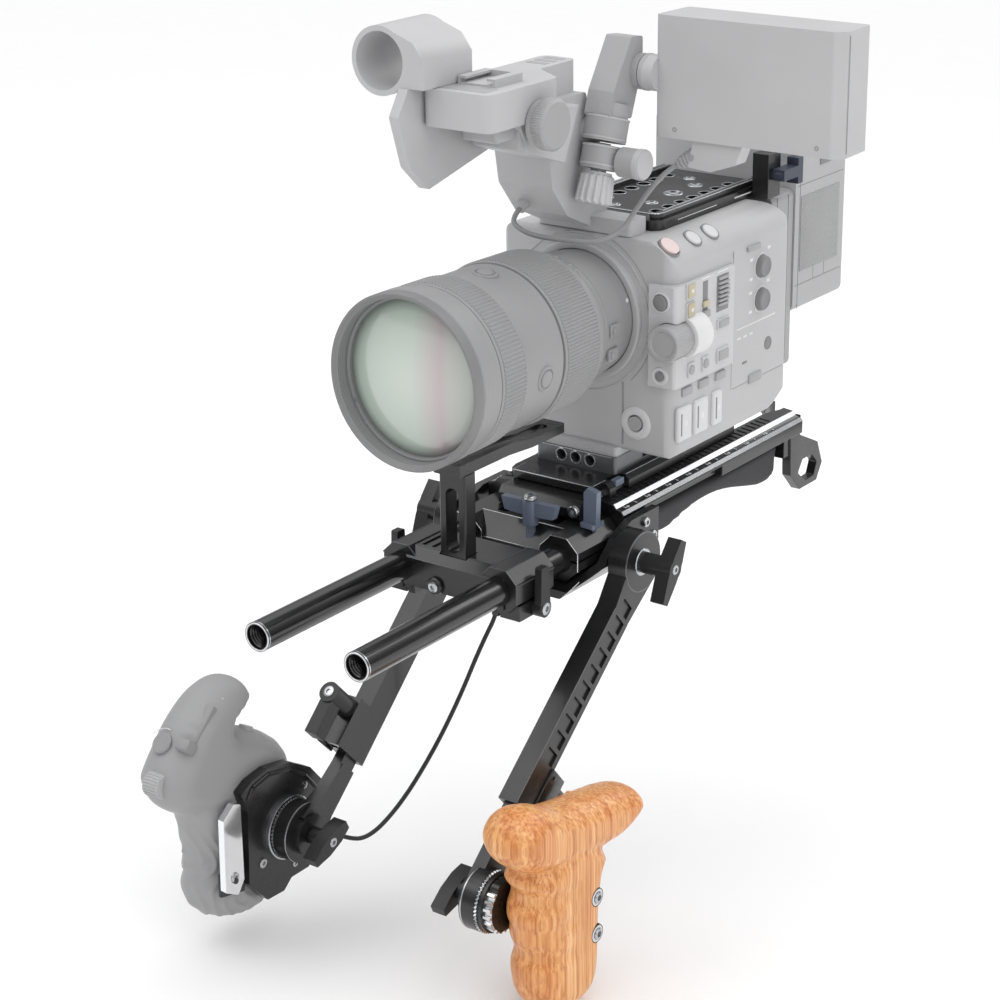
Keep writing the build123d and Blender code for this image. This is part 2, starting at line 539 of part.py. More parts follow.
def lever_faces(side):
    """Where the clamp stands: the tube face, the block's outer face and the direction away from the arm."""
    away = ARMS[side][3]
    face = TUBE_TOP if away > 0 else TUBE_BOTTOM
    return face, face + away * 10.0, away


def arm(side):
    """Outer arm: hub, hollow tube with ladder pockets on one face, and the clamp block."""
    hub = arm_bar(side, 0, 0, ARM_INNER, ARM_OUTER, HUB_RADIUS)
    tube = arm_block(side, 2, TUBE_END, TUBE_BOTTOM, TUBE_TOP, ARM_INNER, ARM_OUTER)
    neck = arm_plate(side, [(0, HUB_RADIUS), (14, 7.7), (30, TUBE_TOP), (30, TUBE_BOTTOM), (0, -HUB_RADIUS)],
                     ARM_INNER, ARM_OUTER)
    body = hub + tube + neck
    body -= arm_block(side, 62, TUBE_END + 1, TUBE_BOTTOM + TUBE_WALL, TUBE_TOP - TUBE_WALL,
                      ARM_INNER + TUBE_WALL, ARM_OUTER - TUBE_WALL)
    pitch, count, pocket = 9.65, 10, 7.2
    for index in range(count):
        start = 22 + index * pitch
        body -= arm_block(side, start, start + pocket, TUBE_BOTTOM + 3.4, TUBE_TOP - 3.4,
                          ARM_OUTER - 1.2, ARM_OUTER + 1)
    face, top, away = lever_faces(side)
    body += arm_block(side, 116, TUBE_END, min(face, top), max(face, top), ARM_INNER, ARM_OUTER)
    body -= arm_block(side, 130, TUBE_END + 1, min(face, top) + 3, max(face, top) - 3,
                      ARM_INNER + 3, ARM_OUTER - 3)
    body -= arm_stud(side, CLAMP_U, face + away, top + away, CLAMP_OUT, CLAMP_SCREW + SLIDING)
    return body - arm_bar(side, 0, 0, ARM_INNER - 1, ARM_OUTER + 1, PIVOT_RADIUS + SLIDING)


def arm_inner(side):
    """Inner arm: a bar that slides in the tube, and the cranked end with the lower rosette disc."""
    hub_v = ARMS[side][2]
    low, high = TUBE_BOTTOM + TUBE_WALL + GAP, TUBE_TOP - TUBE_WALL - GAP
    x0, x1 = ARM_INNER + TUBE_WALL + GAP, ARM_OUTER - TUBE_WALL - GAP
    bar = arm_block(side, 72, 150, low, high, x0, x1)
    bend = [(148.4, low), (148.4, high), (166, high + (hub_v + 5) * 0.4 + 1), (LOWER_HUB_U - 4, hub_v + 12),
            (LOWER_HUB_U + 4, hub_v - 12), (LOWER_HUB_U - 14, hub_v - 9)]
    crank = arm_plate(side, bend, ARM_INNER + 1, x1)
    disc = arm_bar(side, LOWER_HUB_U, hub_v, 54, DISC_FACE - 1.2, HUB_RADIUS)
    teeth = arm_bar(side, LOWER_HUB_U, hub_v, DISC_FACE - 1.3, DISC_FACE, HUB_RADIUS - 1.5)
    shoulder = arm_bar(side, LOWER_HUB_U, hub_v, ARM_INNER, 55, 11)
    bore = arm_bar(side, LOWER_HUB_U, hub_v, 40, 70, GRIP_PIN_RADIUS + SLIDING)
    return bar + crank + disc + teeth + shoulder - bore


def arm_lever(side):
    """Clamp lever: a screwed stem, a round head and a handle that lies along the arm."""
    face, top, away = lever_faces(side)
    stem = arm_stud(side, CLAMP_U, face + away * 3, top + away * 2, CLAMP_OUT, CLAMP_SCREW)
    head = arm_stud(side, CLAMP_U, top + away * GAP, top + away * 20, CLAMP_OUT, 5.5)
    low, high = sorted((top + away * 10, top + away * 19))
    handle_bar = arm_block(side, CLAMP_U, CLAMP_U + 23, low, high, CLAMP_OUT - 3.5, CLAMP_OUT + 3.5)
    recess = arm_stud(side, CLAMP_U, top + away * 18.6, top + away * 21, CLAMP_OUT, 2.0)
    return stem + head + handle_bar - recess


def wing_knob(axis_point, step, shaft, column, span, twist):
    """A wing knob on a shaft along X; step is the sign of X that it faces.

    shaft is (radius, far end) and column is (radius, length); a flat bar lies across the column's end.
    """
    x, y, z = axis_point
    face = x + step * GAP
    end = face + step * column[1]
    knob = bar_x(shaft[1], face + step, y, z, shaft[0]) + bar_x(face, end, y, z, column[0])
    long, short = span * 0.55, span * 0.45
    bar = [(-long, -2.2), (-long, 2.2), (-5, 4.6), (5, 4.6), (short, 2.6), (short, -2.6), (5, -4.6),
           (-5, -4.6)]
    wings = Pos(0, y, z) * Rot(twist, 0, 0) * plate_x(bar, end - step * 8, end)
    return knob + wings - bar_x(end - step * 0.8, end + step * 2, y, z, 1.6)


def arm_knob(side):
    sign = ARMS[side][0]
    return wing_knob((sign * ARM_OUTER, HUB_Y, HUB_Z), sign, (PIVOT_RADIUS, sign * 45), (5.5, 19), 34, 60)


def lower_hub(side):
    """The lower hub's (Y, Z)."""
    angle, v = radians(ARMS[side][1]), ARMS[side][2]
    u = LOWER_HUB_U
    return HUB_Y - u * cos(angle) - v * sin(angle), HUB_Z - u * sin(angle) + v * cos(angle)


def grip_knob(side):
    sign = ARMS[side][0]
    y, z = lower_hub(side)
    shaft = (GRIP_PIN_RADIUS, sign * (DISC_FACE + 5))
    return wing_knob((sign * ARM_INNER, y, z), -sign, shaft, (4.6, 13.5), 28, 25)


def bored_adaptor(side, shape):
    sign = ARMS[side][0]
    y, z = lower_hub(side)
    return shape - bar_x(sign * 60, sign * (DISC_FACE + 6), y, z, GRIP_PIN_RADIUS + SLIDING)


# ---- wooden grip on the left arm ----------------------------------------------------------------
def wood_grip_adaptor():
    """Toothed rosette, spring housing and the dark mounting block behind the wooden grip."""
    y, z = lower_hub("left")
    ring = bar_x(DISC_FACE + GAP, 66.5, y, z, 15)
    drum = bar_x(66.4, GRIP_FACE - 0.2, y, z, 12.5)
    lug = plate_x([(y - 8, z - 12), (y + 20, z - 12), (y + 20, z + 14), (y - 8, z + 14)],
                  67.5, GRIP_FACE - 0.2, 3)
    return bored_adaptor("left", ring + drum + lug)


def wood_grip():
    """Carved handle: front bulb, finger grooves and a horn that runs up and back."""
    profile = [(30, -84), (32, -79), (38, -74.5), (47, -73), (57, -77), (68, -82), (84, -86), (100, -88.5),
               (118, -92), (130, -95), (136, -100), (136, -108), (128, -113.5), (114, -117), (104, -121),
               (99, -130), (97, -145), (96.5, -165), (95, -180), (88, -189), (74, -193), (62, -188),
               (54, -178), (50, -166), (50.5, -157), (48, -147), (46, -138), (48.5, -129), (49, -122),
               (47, -114), (40, -107), (32, -99)]
    body = plate_x(profile, GRIP_FACE, 104)
    waist = plate_y([(GRIP_FACE, -70), (104, -70), (104, -195), (GRIP_FACE, -195)], 20, 155, 9)
    plan = plate_z([(GRIP_FACE, 26), (104, 26), (104, 140), (GRIP_FACE, 140)], -200, -60, 9)
    body = body & waist & plan
    for z in SCREW_Z:
        body -= bar_x(100, 110, SCREW_Y, z, 4.3)
        body -= bar_x(60, 101, SCREW_Y, z, 2.1)
    return body


def wood_grip_screws():
    """Two cap screws with washers in the wooden grip."""
    screws = []
    for z in SCREW_Z:
        head = bar_x(100, 103, SCREW_Y, z, 3.1) - bar_x(101, 104, SCREW_Y, z, 1.5)
        washer = bar_x(100, 100.8, SCREW_Y, z, 4.2)
        screws.append(head + washer + bar_x(73, 100.5, SCREW_Y, z, 2.0))
    return Compound(children=screws)


# ---- electronic grip on the right arm -----------------------------------------------------------
def smart_grip_adaptor():
    """Rosette, round boss and the scalloped plate that carries the electronic grip."""
    y, z = lower_hub("right")
    ring = bar_x(-DISC_FACE - GAP, -66.6, y, z, 15.5)
    scalloped = [(22.5, -103), (30, -99), (43, -97), (60, -100), (75, -109), (85, -121), (80, -146),
                 (71, -165), (57, -165), (51, -170), (38, -169.5), (25, -155), (26.5, -114)]
    plate = plate_x(scalloped, -66.5, -72, 1.5)
    gland = bar_y(-69.2, 74, 80.5, -150, 2.4)
    lug = plate_x([(8, -143), (8, -156), (26, -160), (28, -140), (14, -138)], -70.9, -72, 1)
    pin = bar_x(-65.8, -71.2, STRAP_Y, STRAP_Z, 1.5)
    return bored_adaptor("right", ring + plate + gland + lug + pin)


def smart_grip():
    """Moulded grip: a hood that curves over the thumb rest, and a handle below it."""
    hood = [(-15.5, -91), (-14, -86), (-6, -75), (3, -64.5), (14, -56), (24, -51), (35, -49), (42, -50.5),
            (46.5, -56), (45, -63), (39, -68), (33, -71.5), (35, -77), (50, -82), (64, -91), (73, -102),
            (71, -111), (62, -119), (48, -122.5), (32, -121.5), (16, -116.5), (-3, -108.5), (-12, -101)]
    handle_outline = [(3, -108), (3, -119), (6.5, -134), (6.5, -148), (4.5, -159.5), (8, -168), (20, -176),
                      (35, -181), (46, -181), (52, -172), (51, -150), (50, -130), (54, -116), (20, -104)]
    body = plate_x(hood, -GRIP_FACE - 0.2, -106) + plate_x(handle_outline, -GRIP_FACE - 0.2, -105)
    front_view = [(-72.2, -46), (-72.2, -184), (-98, -184), (-104, -165), (-106, -110), (-106, -60),
                  (-98, -46)]
    front = plate_y(front_view, -20, 76, 5)
    dial_pocket = bar_x(-84 + GAP, -94 - GAP, THUMB_DIAL_Y, THUMB_DIAL_Z, THUMB_DIAL_RADIUS + GAP)
    return body & front - dial_pocket - stick_axis(Pos(0, 0, 3.5) * Cylinder(4.8, 21))


def stick_axis(shape):
    """The thumb joystick's own axes: local Z points out of the grip's shoulder."""
    return Pos(-86, STICK_Y, STICK_Z) * Rot(-STICK_TILT, 0, 0) * shape


def smart_grip_stick():
    """Thumb joystick with its cross pin."""
    stick = stick_axis(Cylinder(2.4, 7) + Pos(0, 0, 4.5) * Cylinder(3.6, 3))
    pivot_y = STICK_Y - 3.5 * sin(radians(STICK_TILT))
    pivot_z = STICK_Z - 3.5 * cos(radians(STICK_TILT))
    return stick + bar_x(-89, -83, pivot_y, pivot_z, 1.5)


def smart_grip_dial():
    """Ribbed dial at the grip's front."""
    return bar_x(-84, -94, THUMB_DIAL_Y, THUMB_DIAL_Z, THUMB_DIAL_RADIUS)


def strap_lever():
    """Polished lever that releases the grip from its plate."""
    side_view = [(9, -112), (17, -106), (21.8, -108), (21.8, -150), (17, -157), (8, -152)]
    blade = plate_x(side_view, -66.9, -70.5, 1.2)
    return blade - bar_x(-60, -75, STRAP_Y, STRAP_Z, 1.5 + SLIDING)


# ---- lens support -------------------------------------------------------------------------------
def support_clamp():
    """Clamp block that slides on both rods, with octagonal split collars and the upright's slot."""
    top = [(108, -9), (108, 6), (114, 11), (139, 11), (141, 8), (141, -9)]
    body = plate_x(top, -34, 34)
    for side in (1, -1):
        x = side * ROD_OFFSET
        body += plate_y(octagon(x), 109, 141)
        body += block(x - side * 6, x + side * 10.9, 112, 138, -15, -7)
        body -= bar_y(x, 100, 150, 0, ROD_RADIUS + SLIDING)
        body -= block(x - side * 2.1, x - side * 0.9, 100, 150, -20, 0)
        body -= block(side * 40.9, side * 50, 100, 150, -20, 20)
        body -= bar_x(x + side * 2, x + side * 12, LEVER_Y, LEVER_Z, 2.0 + SLIDING)
    body -= block(-8 - GAP, 8 + GAP, 112.6, 122.4, -20, 20)
    for x in (-22, -16):
        body -= block(x, x + 2.5, 116, 134, 10, 12)
    return body


def support_upright():
    """Upright slotted bar."""
    bar = plate_z([(-8, 113), (8, 113), (8, 122), (-8, 122)], -9, 53.5, 1)
    return bar - plate_y([(-4, 12), (4, 12), (4, 46), (-4, 46)], 105, 130, 3.9)


def support_arm():
    """Cranked slotted bar that carries the lens foot, running back over the deck."""
    side = [(109, 54), (109, 60), (152, 60), (172, 57), (200, 57), (200, 52.5), (170, 52.5), (150, 54)]
    bar = plate_x(side, -8, 8)
    plan = plate_z([(-8, 105), (8, 105), (8, 200), (-8, 200)], 40, 70, 2.5)
    return bar & plan - plate_z([(-3.2, 120), (3.2, 120), (3.2, 192), (-3.2, 192)], 40, 70, 3.1)


def support_lever(side):
    """Clamp lever on one collar's outer face: a screw along X, its head and an upright blade."""
    x = side * ROD_OFFSET
    face = side * (40.9 + GAP)
    screw = bar_x(x + side * 2.5, face + side * 2, LEVER_Y, LEVER_Z, 2.0)
    hub = bar_x(face, face + side * 5.5, LEVER_Y, LEVER_Z, 4.6)
    socket = bar_x(face + side * 5, face + side * 6, LEVER_Y, LEVER_Z, 1.5)
    blade = plate_x([(LEVER_Y - 4, LEVER_Z + 2), (LEVER_Y + 4, LEVER_Z + 2), (LEVER_Y + 2.6, LEVER_Z + 22),
                     (LEVER_Y - 3.4, LEVER_Z + 22)], face + side * 1.5, face + side * 5.5, 1)
    return screw + hub - socket + blade


# ---- cables -------------------------------------------------------------------------------------
def cable(name, points, diameter):
    """A round cable along straight runs joined by tangent arcs, as large as the runs allow."""
    corners = [Vector(*p) for p in points]
    radii = []
    for before, here, after in zip(corners, corners[1:], corners[2:]):
        run_in, run_out = here - before, after - here
        turn = radians(run_in.get_angle(run_out))
        radii.append(0.45 * min(run_in.length, run_out.length) / tan(turn / 2))
    path = FilletPolyline(*points, radius=radii)
    start = Plane(origin=path @ 0, z_dir=path % 0)
    tube = sweep(start * Circle(diameter / 2), path=path)
    expected = 3.14159265 * diameter ** 2 / 4 * path.length
    print(f"{name}: length {path.length:.1f}, volume ratio {tube.volume / expected:.4f}, radii",
          [round(r, 1) for r in radii])
    return tube


# ---- export -------------------------------------------------------------------------------------
os.makedirs("parts", exist_ok=True)
PIECES = {
    "base_plate": base_plate(), "rod_block": rod_block(), "riser_block": riser_block(),
    "arm_bracket": arm_bracket(), "shoulder_pad": shoulder_pad(), "rear_bracket": rear_bracket(),
    "base_screws": base_screws(), "rod_left": rod(1), "rod_right": rod(-1),
    "rod_clamp_knob": rod_clamp_knob(),
    "quick_release_deck": quick_release_deck(), "quick_release_lever": quick_release_lever(),
    "release_button": release_button(), "camera_plate": camera_plate(), "camera_body": camera_body(),
    "side_panel": side_panel(), "record_button": record_button(), "front_button": front_button(),
    "side_dial": side_dial(), "top_plate": top_plate(), "cable_bracket": cable_bracket(),
    "cable_bracket_knob": cable_bracket_knob(), "battery_plate": battery_plate(), "battery": battery(),
    "lens_barrel": lens_barrel(), "focus_ring": focus_ring(), "zoom_ring": zoom_ring(),
    "lens_glass": lens_glass(),
    "handle": handle(), "handle_knob": handle_knob(), "mic_holder": mic_holder(),
    "monitor_arm": monitor_arm(),
    "monitor_arm_knob": monitor_arm_knob(), "monitor_link": monitor_link(), "monitor": monitor(),
    "wood_grip_adaptor": wood_grip_adaptor(), "wood_grip": wood_grip(),
    "wood_grip_screws": wood_grip_screws(), "smart_grip_adaptor": smart_grip_adaptor(),
    "smart_grip": smart_grip(), "smart_grip_stick": smart_grip_stick(),
    "smart_grip_dial": smart_grip_dial(), "strap_lever": strap_lever(), "support_clamp": support_clamp(),
    "support_upright": support_upright(), "support_arm": support_arm(),
    "support_lever_left": support_lever(1),
    "support_lever_right": support_lever(-1),
    "grip_cable": cable("grip_cable", GRIP_CABLE, GRIP_CABLE_DIAMETER),
    "monitor_cable": cable("monitor_cable", MONITOR_CABLE, MONITOR_CABLE_DIAMETER),
}
for arm_side in ARMS:
    PIECES[f"arm_{arm_side}"] = arm(arm_side)
    PIECES[f"arm_{arm_side}_inner"] = arm_inner(arm_side)
    PIECES[f"arm_{arm_side}_lever"] = arm_lever(arm_side)
    PIECES[f"arm_{arm_side}_knob"] = arm_knob(arm_side)
    PIECES[f"grip_{arm_side}_knob"] = grip_knob(arm_side)
for piece_name, piece in PIECES.items():
    save(piece_name, piece)
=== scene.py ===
"""Looks for the cinema camera rig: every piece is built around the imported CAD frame.

Lengths are millimetres in the work frame of the rods (X to the camera's left, lens along -Y, Z up, the rods'
axes at Z = 0 and their front ends at Y = 0), and at() turns them into metres in the row frame.
"""
import math

import bmesh
import bpy
import numpy as np
from mathutils import Matrix, Vector


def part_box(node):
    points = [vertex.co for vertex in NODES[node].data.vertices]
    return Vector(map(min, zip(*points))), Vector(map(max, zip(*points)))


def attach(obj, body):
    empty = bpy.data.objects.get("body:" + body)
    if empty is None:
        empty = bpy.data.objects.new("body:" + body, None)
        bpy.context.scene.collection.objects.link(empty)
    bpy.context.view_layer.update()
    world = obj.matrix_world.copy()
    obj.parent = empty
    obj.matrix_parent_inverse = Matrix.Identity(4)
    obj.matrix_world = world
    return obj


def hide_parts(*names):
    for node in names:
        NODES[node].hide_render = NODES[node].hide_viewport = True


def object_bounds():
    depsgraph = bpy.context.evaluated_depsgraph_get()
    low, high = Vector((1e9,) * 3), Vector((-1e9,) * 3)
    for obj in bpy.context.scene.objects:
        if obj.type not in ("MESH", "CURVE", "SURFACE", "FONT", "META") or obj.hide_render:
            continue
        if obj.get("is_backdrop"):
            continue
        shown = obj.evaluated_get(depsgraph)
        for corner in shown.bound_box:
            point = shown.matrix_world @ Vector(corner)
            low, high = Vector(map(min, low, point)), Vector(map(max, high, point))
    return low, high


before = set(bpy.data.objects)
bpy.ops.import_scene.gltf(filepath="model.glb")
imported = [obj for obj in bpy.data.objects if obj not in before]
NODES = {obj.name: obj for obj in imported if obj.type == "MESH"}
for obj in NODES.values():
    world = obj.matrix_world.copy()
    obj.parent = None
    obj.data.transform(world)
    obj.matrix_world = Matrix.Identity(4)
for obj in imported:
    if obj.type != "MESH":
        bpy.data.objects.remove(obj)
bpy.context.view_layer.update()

MM = 0.001
ROD_LOW, ROD_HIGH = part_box("rod_left")
ROD_START = Vector((0.0, ROD_LOW.y, (ROD_LOW.z + ROD_HIGH.z) / 2))   # between the rods, at their front ends
TAU = 2 * math.pi

# Driving dimensions, in millimetres of the work frame.
ROD_OFFSET = 30.0
COLLAR_RADIUS, COLLAR_EDGE = 12.5, 4.0        # collars round the rods; edges above this height shine
CLAMP_SCREW = (8, 168, 25.2)                  # top of the rod clamp's knob
HUB_Y, HUB_Z, ARM_OUTER, DISC_FACE, LOWER_HUB_U = 191.8, -5.0, 61.0, 64.0, 188.0
TUBE_TOP, TUBE_BOTTOM, CLAMP_OUT, LEVER_U = 3.4, -13.6, 55.5, 123.0
LENS_Z = 109.6
LENS_MOUTH = (0, 76, LENS_Z)
BODY_FRONT, BODY_RIGHT, BODY_LEFT, REAR_FACE = 225.0, -49.0, 57.0, 365.6
PANEL_OUTER, PANEL_FRONT = 59.5, 221.6
DIAL_CENTRE = (56, 215, 103)
PLATE_FRONT, PLATE_TOP, TOP_FACE, RAIL_TOP = 220.0, 35.0, 157.4, 160.0
KNOB_Y, KNOB_Z = 160.0, 221.0                 # axis of the handle's knob
POST_FOOT, POST_LEAN = (16, 212, 170), 18.0   # the monitor's post, leaning back in degrees
SCREW_Y, SCREW_Z = 87.0, (-135.5, -155.5)     # cap screws in the wooden grip
GRIP_INNER, GRIP_OUTER = 72.2, 103.8          # faces of the wooden grip


def at(x, y, z):
    """A point in metres from millimetres measured from the rods' front ends."""
    return ROD_START + Vector((x, y, z)) * MM


def work_box(node):
    """A CAD node's lowest and highest corners in work-frame millimetres."""
    low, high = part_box(node)
    return (low - ROD_START) / MM, (high - ROD_START) / MM


# ---- camera -------------------------------------------------------------------------------------
def add_camera():
    """The view from the front left and above, with a long lens."""
    azimuth, elevation, roll = math.radians(36.316), math.radians(20.430), math.radians(-0.7163)
    right = Vector((math.cos(azimuth), math.sin(azimuth), 0))
    forward = -Vector((math.sin(azimuth) * math.cos(elevation), -math.cos(azimuth) * math.cos(elevation),
                       math.sin(elevation)))
    up = right.cross(forward)
    turned_right = math.cos(roll) * right + math.sin(roll) * up
    turned_up = -math.sin(roll) * right + math.cos(roll) * up
    camera = bpy.data.objects.new("camera", bpy.data.cameras.new("camera"))
    camera.data.sensor_width = 36.0
    camera.data.lens = 88.51
    camera.data.clip_end = 60.0
    axes = Matrix((turned_right, turned_up, -forward)).transposed()
    camera.matrix_world = Matrix.Translation(at(688.6, -784.2, 460.9)) @ axes.to_4x4()
    bpy.context.scene.collection.objects.link(camera)
    bpy.context.scene.camera = camera


# ---- materials ----------------------------------------------------------------------------------
def tone(red, green, blue):
    """A linear colour from an 8-bit display colour."""
    parts = [level / 255 for level in (red, green, blue)]
    return (*(part / 12.92 if part <= 0.04045 else ((part + 0.055) / 1.055) ** 2.4 for part in parts), 1.0)


def scaled(colour, factor):
    """A colour made lighter or darker."""
    return tuple(min(1.0, c * factor) for c in colour[:3]) + (1.0,)


def texture(tree, kind, vector, **values):
    """A texture node with its inputs set."""
    node = tree.nodes.new(kind)
    for name, value in values.items():
        node.inputs[name].default_value = value
    tree.links.new(vector, node.inputs["Vector"])
    return node


def ramp(tree, source, stops):
    """A colour ramp through (position, colour) stops."""
    node = tree.nodes.new("ShaderNodeValToRGB")
    while len(node.color_ramp.elements) < len(stops):
        node.color_ramp.elements.new(0.5)
    for element, (position, colour) in zip(node.color_ramp.elements, stops):
        element.position, element.color = position, colour
    tree.links.new(source, node.inputs["Fac"])
    return node.outputs["Color"]


def spread(tree, source, low, high):
    """Stretches the middle of a noise to run from low to high."""
    node = tree.nodes.new("ShaderNodeMapRange")
    node.inputs["From Min"].default_value, node.inputs["From Max"].default_value = 0.3, 0.7
    node.inputs["To Min"].default_value, node.inputs["To Max"].default_value = low, high
    tree.links.new(source, node.inputs["Value"])
    return node.outputs["Result"]


def bump(tree, source, strength, depth, normal=None):
    """Relief from a height, on top of any earlier relief."""
    node = tree.nodes.new("ShaderNodeBump")
    node.inputs["Strength"].default_value = strength
    node.inputs["Distance"].default_value = depth
    tree.links.new(source, node.inputs["Height"])
    if normal is not None:
        tree.links.new(normal, node.inputs["Normal"])
    return node.outputs["Normal"]


def multiplied(tree, first, second, share):
    """One colour darkened by another."""
    mix = tree.nodes.new("ShaderNodeMix")
    mix.data_type, mix.blend_type = "RGBA", "MULTIPLY"
    mix.inputs["Factor"].default_value = share
    tree.links.new(first, mix.inputs["A"])
    tree.links.new(second, mix.inputs["B"])
    return mix.outputs["Result"]


def mapped(tree, vector, **values):
    """A vector scaled and turned before it reaches a texture."""
    node = tree.nodes.new("ShaderNodeMapping")
    for name, value in values.items():
        node.inputs[name].default_value = value
    tree.links.new(vector, node.inputs["Vector"])
    return node.outputs["Vector"]


def surface(name, colour, roughness, metallic=0.0, vary=0.06, patch=30.0, grain=1500.0, depth=0.00004,
            strength=0.25, coat=0.0, stretch=(1, 1, 1)):
    """A procedural finish: slow patches of tone and gloss, and a fine grain in the surface."""
    made = bpy.data.materials.new(name)
    made.use_nodes = True
    made.diffuse_color = colour
    tree = made.node_tree
    shader = tree.nodes["Principled BSDF"]
    shader.inputs["Metallic"].default_value = metallic
    shader.inputs["Coat Weight"].default_value = coat
    shader.inputs["Coat Roughness"].default_value = 0.12
    place = tree.nodes.new("ShaderNodeTexCoord").outputs["Object"]
    if stretch != (1, 1, 1):
        place = mapped(tree, place, Scale=stretch)
    slow = texture(tree, "ShaderNodeTexNoise", place, Scale=patch, Detail=3.0)
    fine = texture(tree, "ShaderNodeTexNoise", place, Scale=grain, Detail=2.0)
    patches = slow.outputs["Fac"]
    colours = ramp(tree, patches, [(0.3, scaled(colour, 1 - vary)), (0.7, scaled(colour, 1 + vary))])
    tree.links.new(colours, shader.inputs["Base Color"])
    tree.links.new(spread(tree, patches, roughness - 0.05, roughness + 0.05), shader.inputs["Roughness"])
    tree.links.new(bump(tree, fine.outputs["Fac"], strength, depth), shader.inputs["Normal"])
    return made


def wood():
    """Oiled hardwood: long wavy streaks along Z, darker pores and a soft polish."""
    made = bpy.data.materials.new("oiled_wood")
    made.use_nodes = True
    tree = made.node_tree
    shader = tree.nodes["Principled BSDF"]
    shader.inputs["Coat Weight"].default_value = 0.25
    shader.inputs["Coat Roughness"].default_value = 0.3
    place = tree.nodes.new("ShaderNodeTexCoord").outputs["Object"]
    drift = texture(tree, "ShaderNodeTexNoise", place, Scale=22.0, Detail=2.0)
    shift = tree.nodes.new("ShaderNodeVectorMath")
    shift.operation = "MULTIPLY_ADD"
    shift.inputs[1].default_value = (0.0025, 0.0025, 0.002)
    tree.links.new(drift.outputs["Color"], shift.inputs[0])
    tree.links.new(place, shift.inputs[2])
    layers = []
    for scale in ((620, 620, 12), (1500, 1500, 40), (110, 110, 5)):
        grain = mapped(tree, shift.outputs["Vector"], Scale=scale, Rotation=(0.10, 0.0, 0.0))
        layers.append(texture(tree, "ShaderNodeTexNoise", grain, Scale=1.0, Detail=4.0))
    streaks = ramp(tree, layers[0].outputs["Fac"], [(0.30, tone(196, 126, 70)), (0.44, tone(222, 154, 92)),
                                                    (0.55, tone(237, 174, 110)), (0.74, tone(249, 200, 144))])
    pores = ramp(tree, layers[1].outputs["Fac"], [(0.32, tone(176, 128, 96)), (0.42, (1, 1, 1, 1)),
                                                  (1.0, (1, 1, 1, 1))])
    bands = ramp(tree, layers[2].outputs["Fac"], [(0.35, tone(236, 204, 176)), (0.6, (1, 1, 1, 1))])
    colour = multiplied(tree, multiplied(tree, streaks, pores, 0.55), bands, 0.9)
    tree.links.new(colour, shader.inputs["Base Color"])
    tree.links.new(spread(tree, layers[0].outputs["Fac"], 0.5, 0.36), shader.inputs["Roughness"])
    tree.links.new(bump(tree, layers[1].outputs["Fac"], 0.35, 0.00015), shader.inputs["Normal"])
    return made


def coated_glass():
    """Front element: pale green centre, a rosy tint towards one side that is a painted reflection off the
    coating, and a darker rim.
    """
    made = bpy.data.materials.new("coated_glass")
    made.use_nodes = True
    tree = made.node_tree
    shader = tree.nodes["Principled BSDF"]
    shader.inputs["Coat Weight"].default_value = 1.0
    shader.inputs["Coat Roughness"].default_value = 0.03
    place = tree.nodes.new("ShaderNodeTexCoord").outputs["Object"]
    centre = tree.nodes.new("ShaderNodeVectorMath")
    centre.operation = "SUBTRACT"
    centre.inputs[1].default_value = at(0, 92, LENS_Z)
    tree.links.new(place, centre.inputs[0])
    length = tree.nodes.new("ShaderNodeVectorMath")
    length.operation = "LENGTH"
    tree.links.new(centre.outputs["Vector"], length.inputs[0])
    radius = tree.nodes.new("ShaderNodeMath")
    radius.operation = "MULTIPLY"
    radius.inputs[1].default_value = 1 / (39.2 * MM)
    tree.links.new(length.outputs["Value"], radius.inputs[0])
    rings = ramp(tree, radius.outputs["Value"],
                 [(0.0, tone(206, 214, 205)), (0.5, tone(192, 203, 192)), (0.86, tone(182, 196, 184)),
                  (0.93, tone(160, 172, 162)), (1.0, tone(112, 120, 114))])
    # A rosy tint towards +X: painted reflection off the coating.
    parts = tree.nodes.new("ShaderNodeSeparateXYZ")
    tree.links.new(centre.outputs["Vector"], parts.inputs["Vector"])
    side = tree.nodes.new("ShaderNodeMath")
    side.operation = "MULTIPLY_ADD"
    side.inputs[1].default_value, side.inputs[2].default_value = 14.0, 0.5
    tree.links.new(parts.outputs["X"], side.inputs[0])
    rose_reflection = ramp(tree, side.outputs["Value"], [(0.52, (1, 1, 1, 1)), (0.74, tone(255, 224, 240)),
                                              (0.80, tone(255, 238, 246)), (0.95, tone(255, 246, 250))])
    tree.links.new(multiplied(tree, rings, rose_reflection, 1.0), shader.inputs["Base Color"])
    tree.links.new(spread(tree, radius.outputs["Value"], 0.10, 0.2), shader.inputs["Roughness"])
    return made


def perforated(colour):
    """Battery skin with fine diagonal rows of small dents."""
    made = surface("battery_mesh", colour, 0.5)
    tree = made.node_tree
    place = tree.nodes["Texture Coordinate"].outputs["Object"]
    rows = mapped(tree, place, Rotation=(math.radians(45), 0, 0), Scale=(1, 420, 420))
    dots = texture(tree, "ShaderNodeTexVoronoi", rows, Scale=1.0, Randomness=0.0)
    old = tree.nodes["Bump"].outputs["Normal"]
    dents = ramp(tree, dots.outputs["Distance"], [(0.25, (0, 0, 0, 1)), (0.4, (1, 1, 1, 1))])
    tree.links.new(bump(tree, dents, 0.8, 0.0004, old), tree.nodes["Principled BSDF"].inputs["Normal"])
    return made


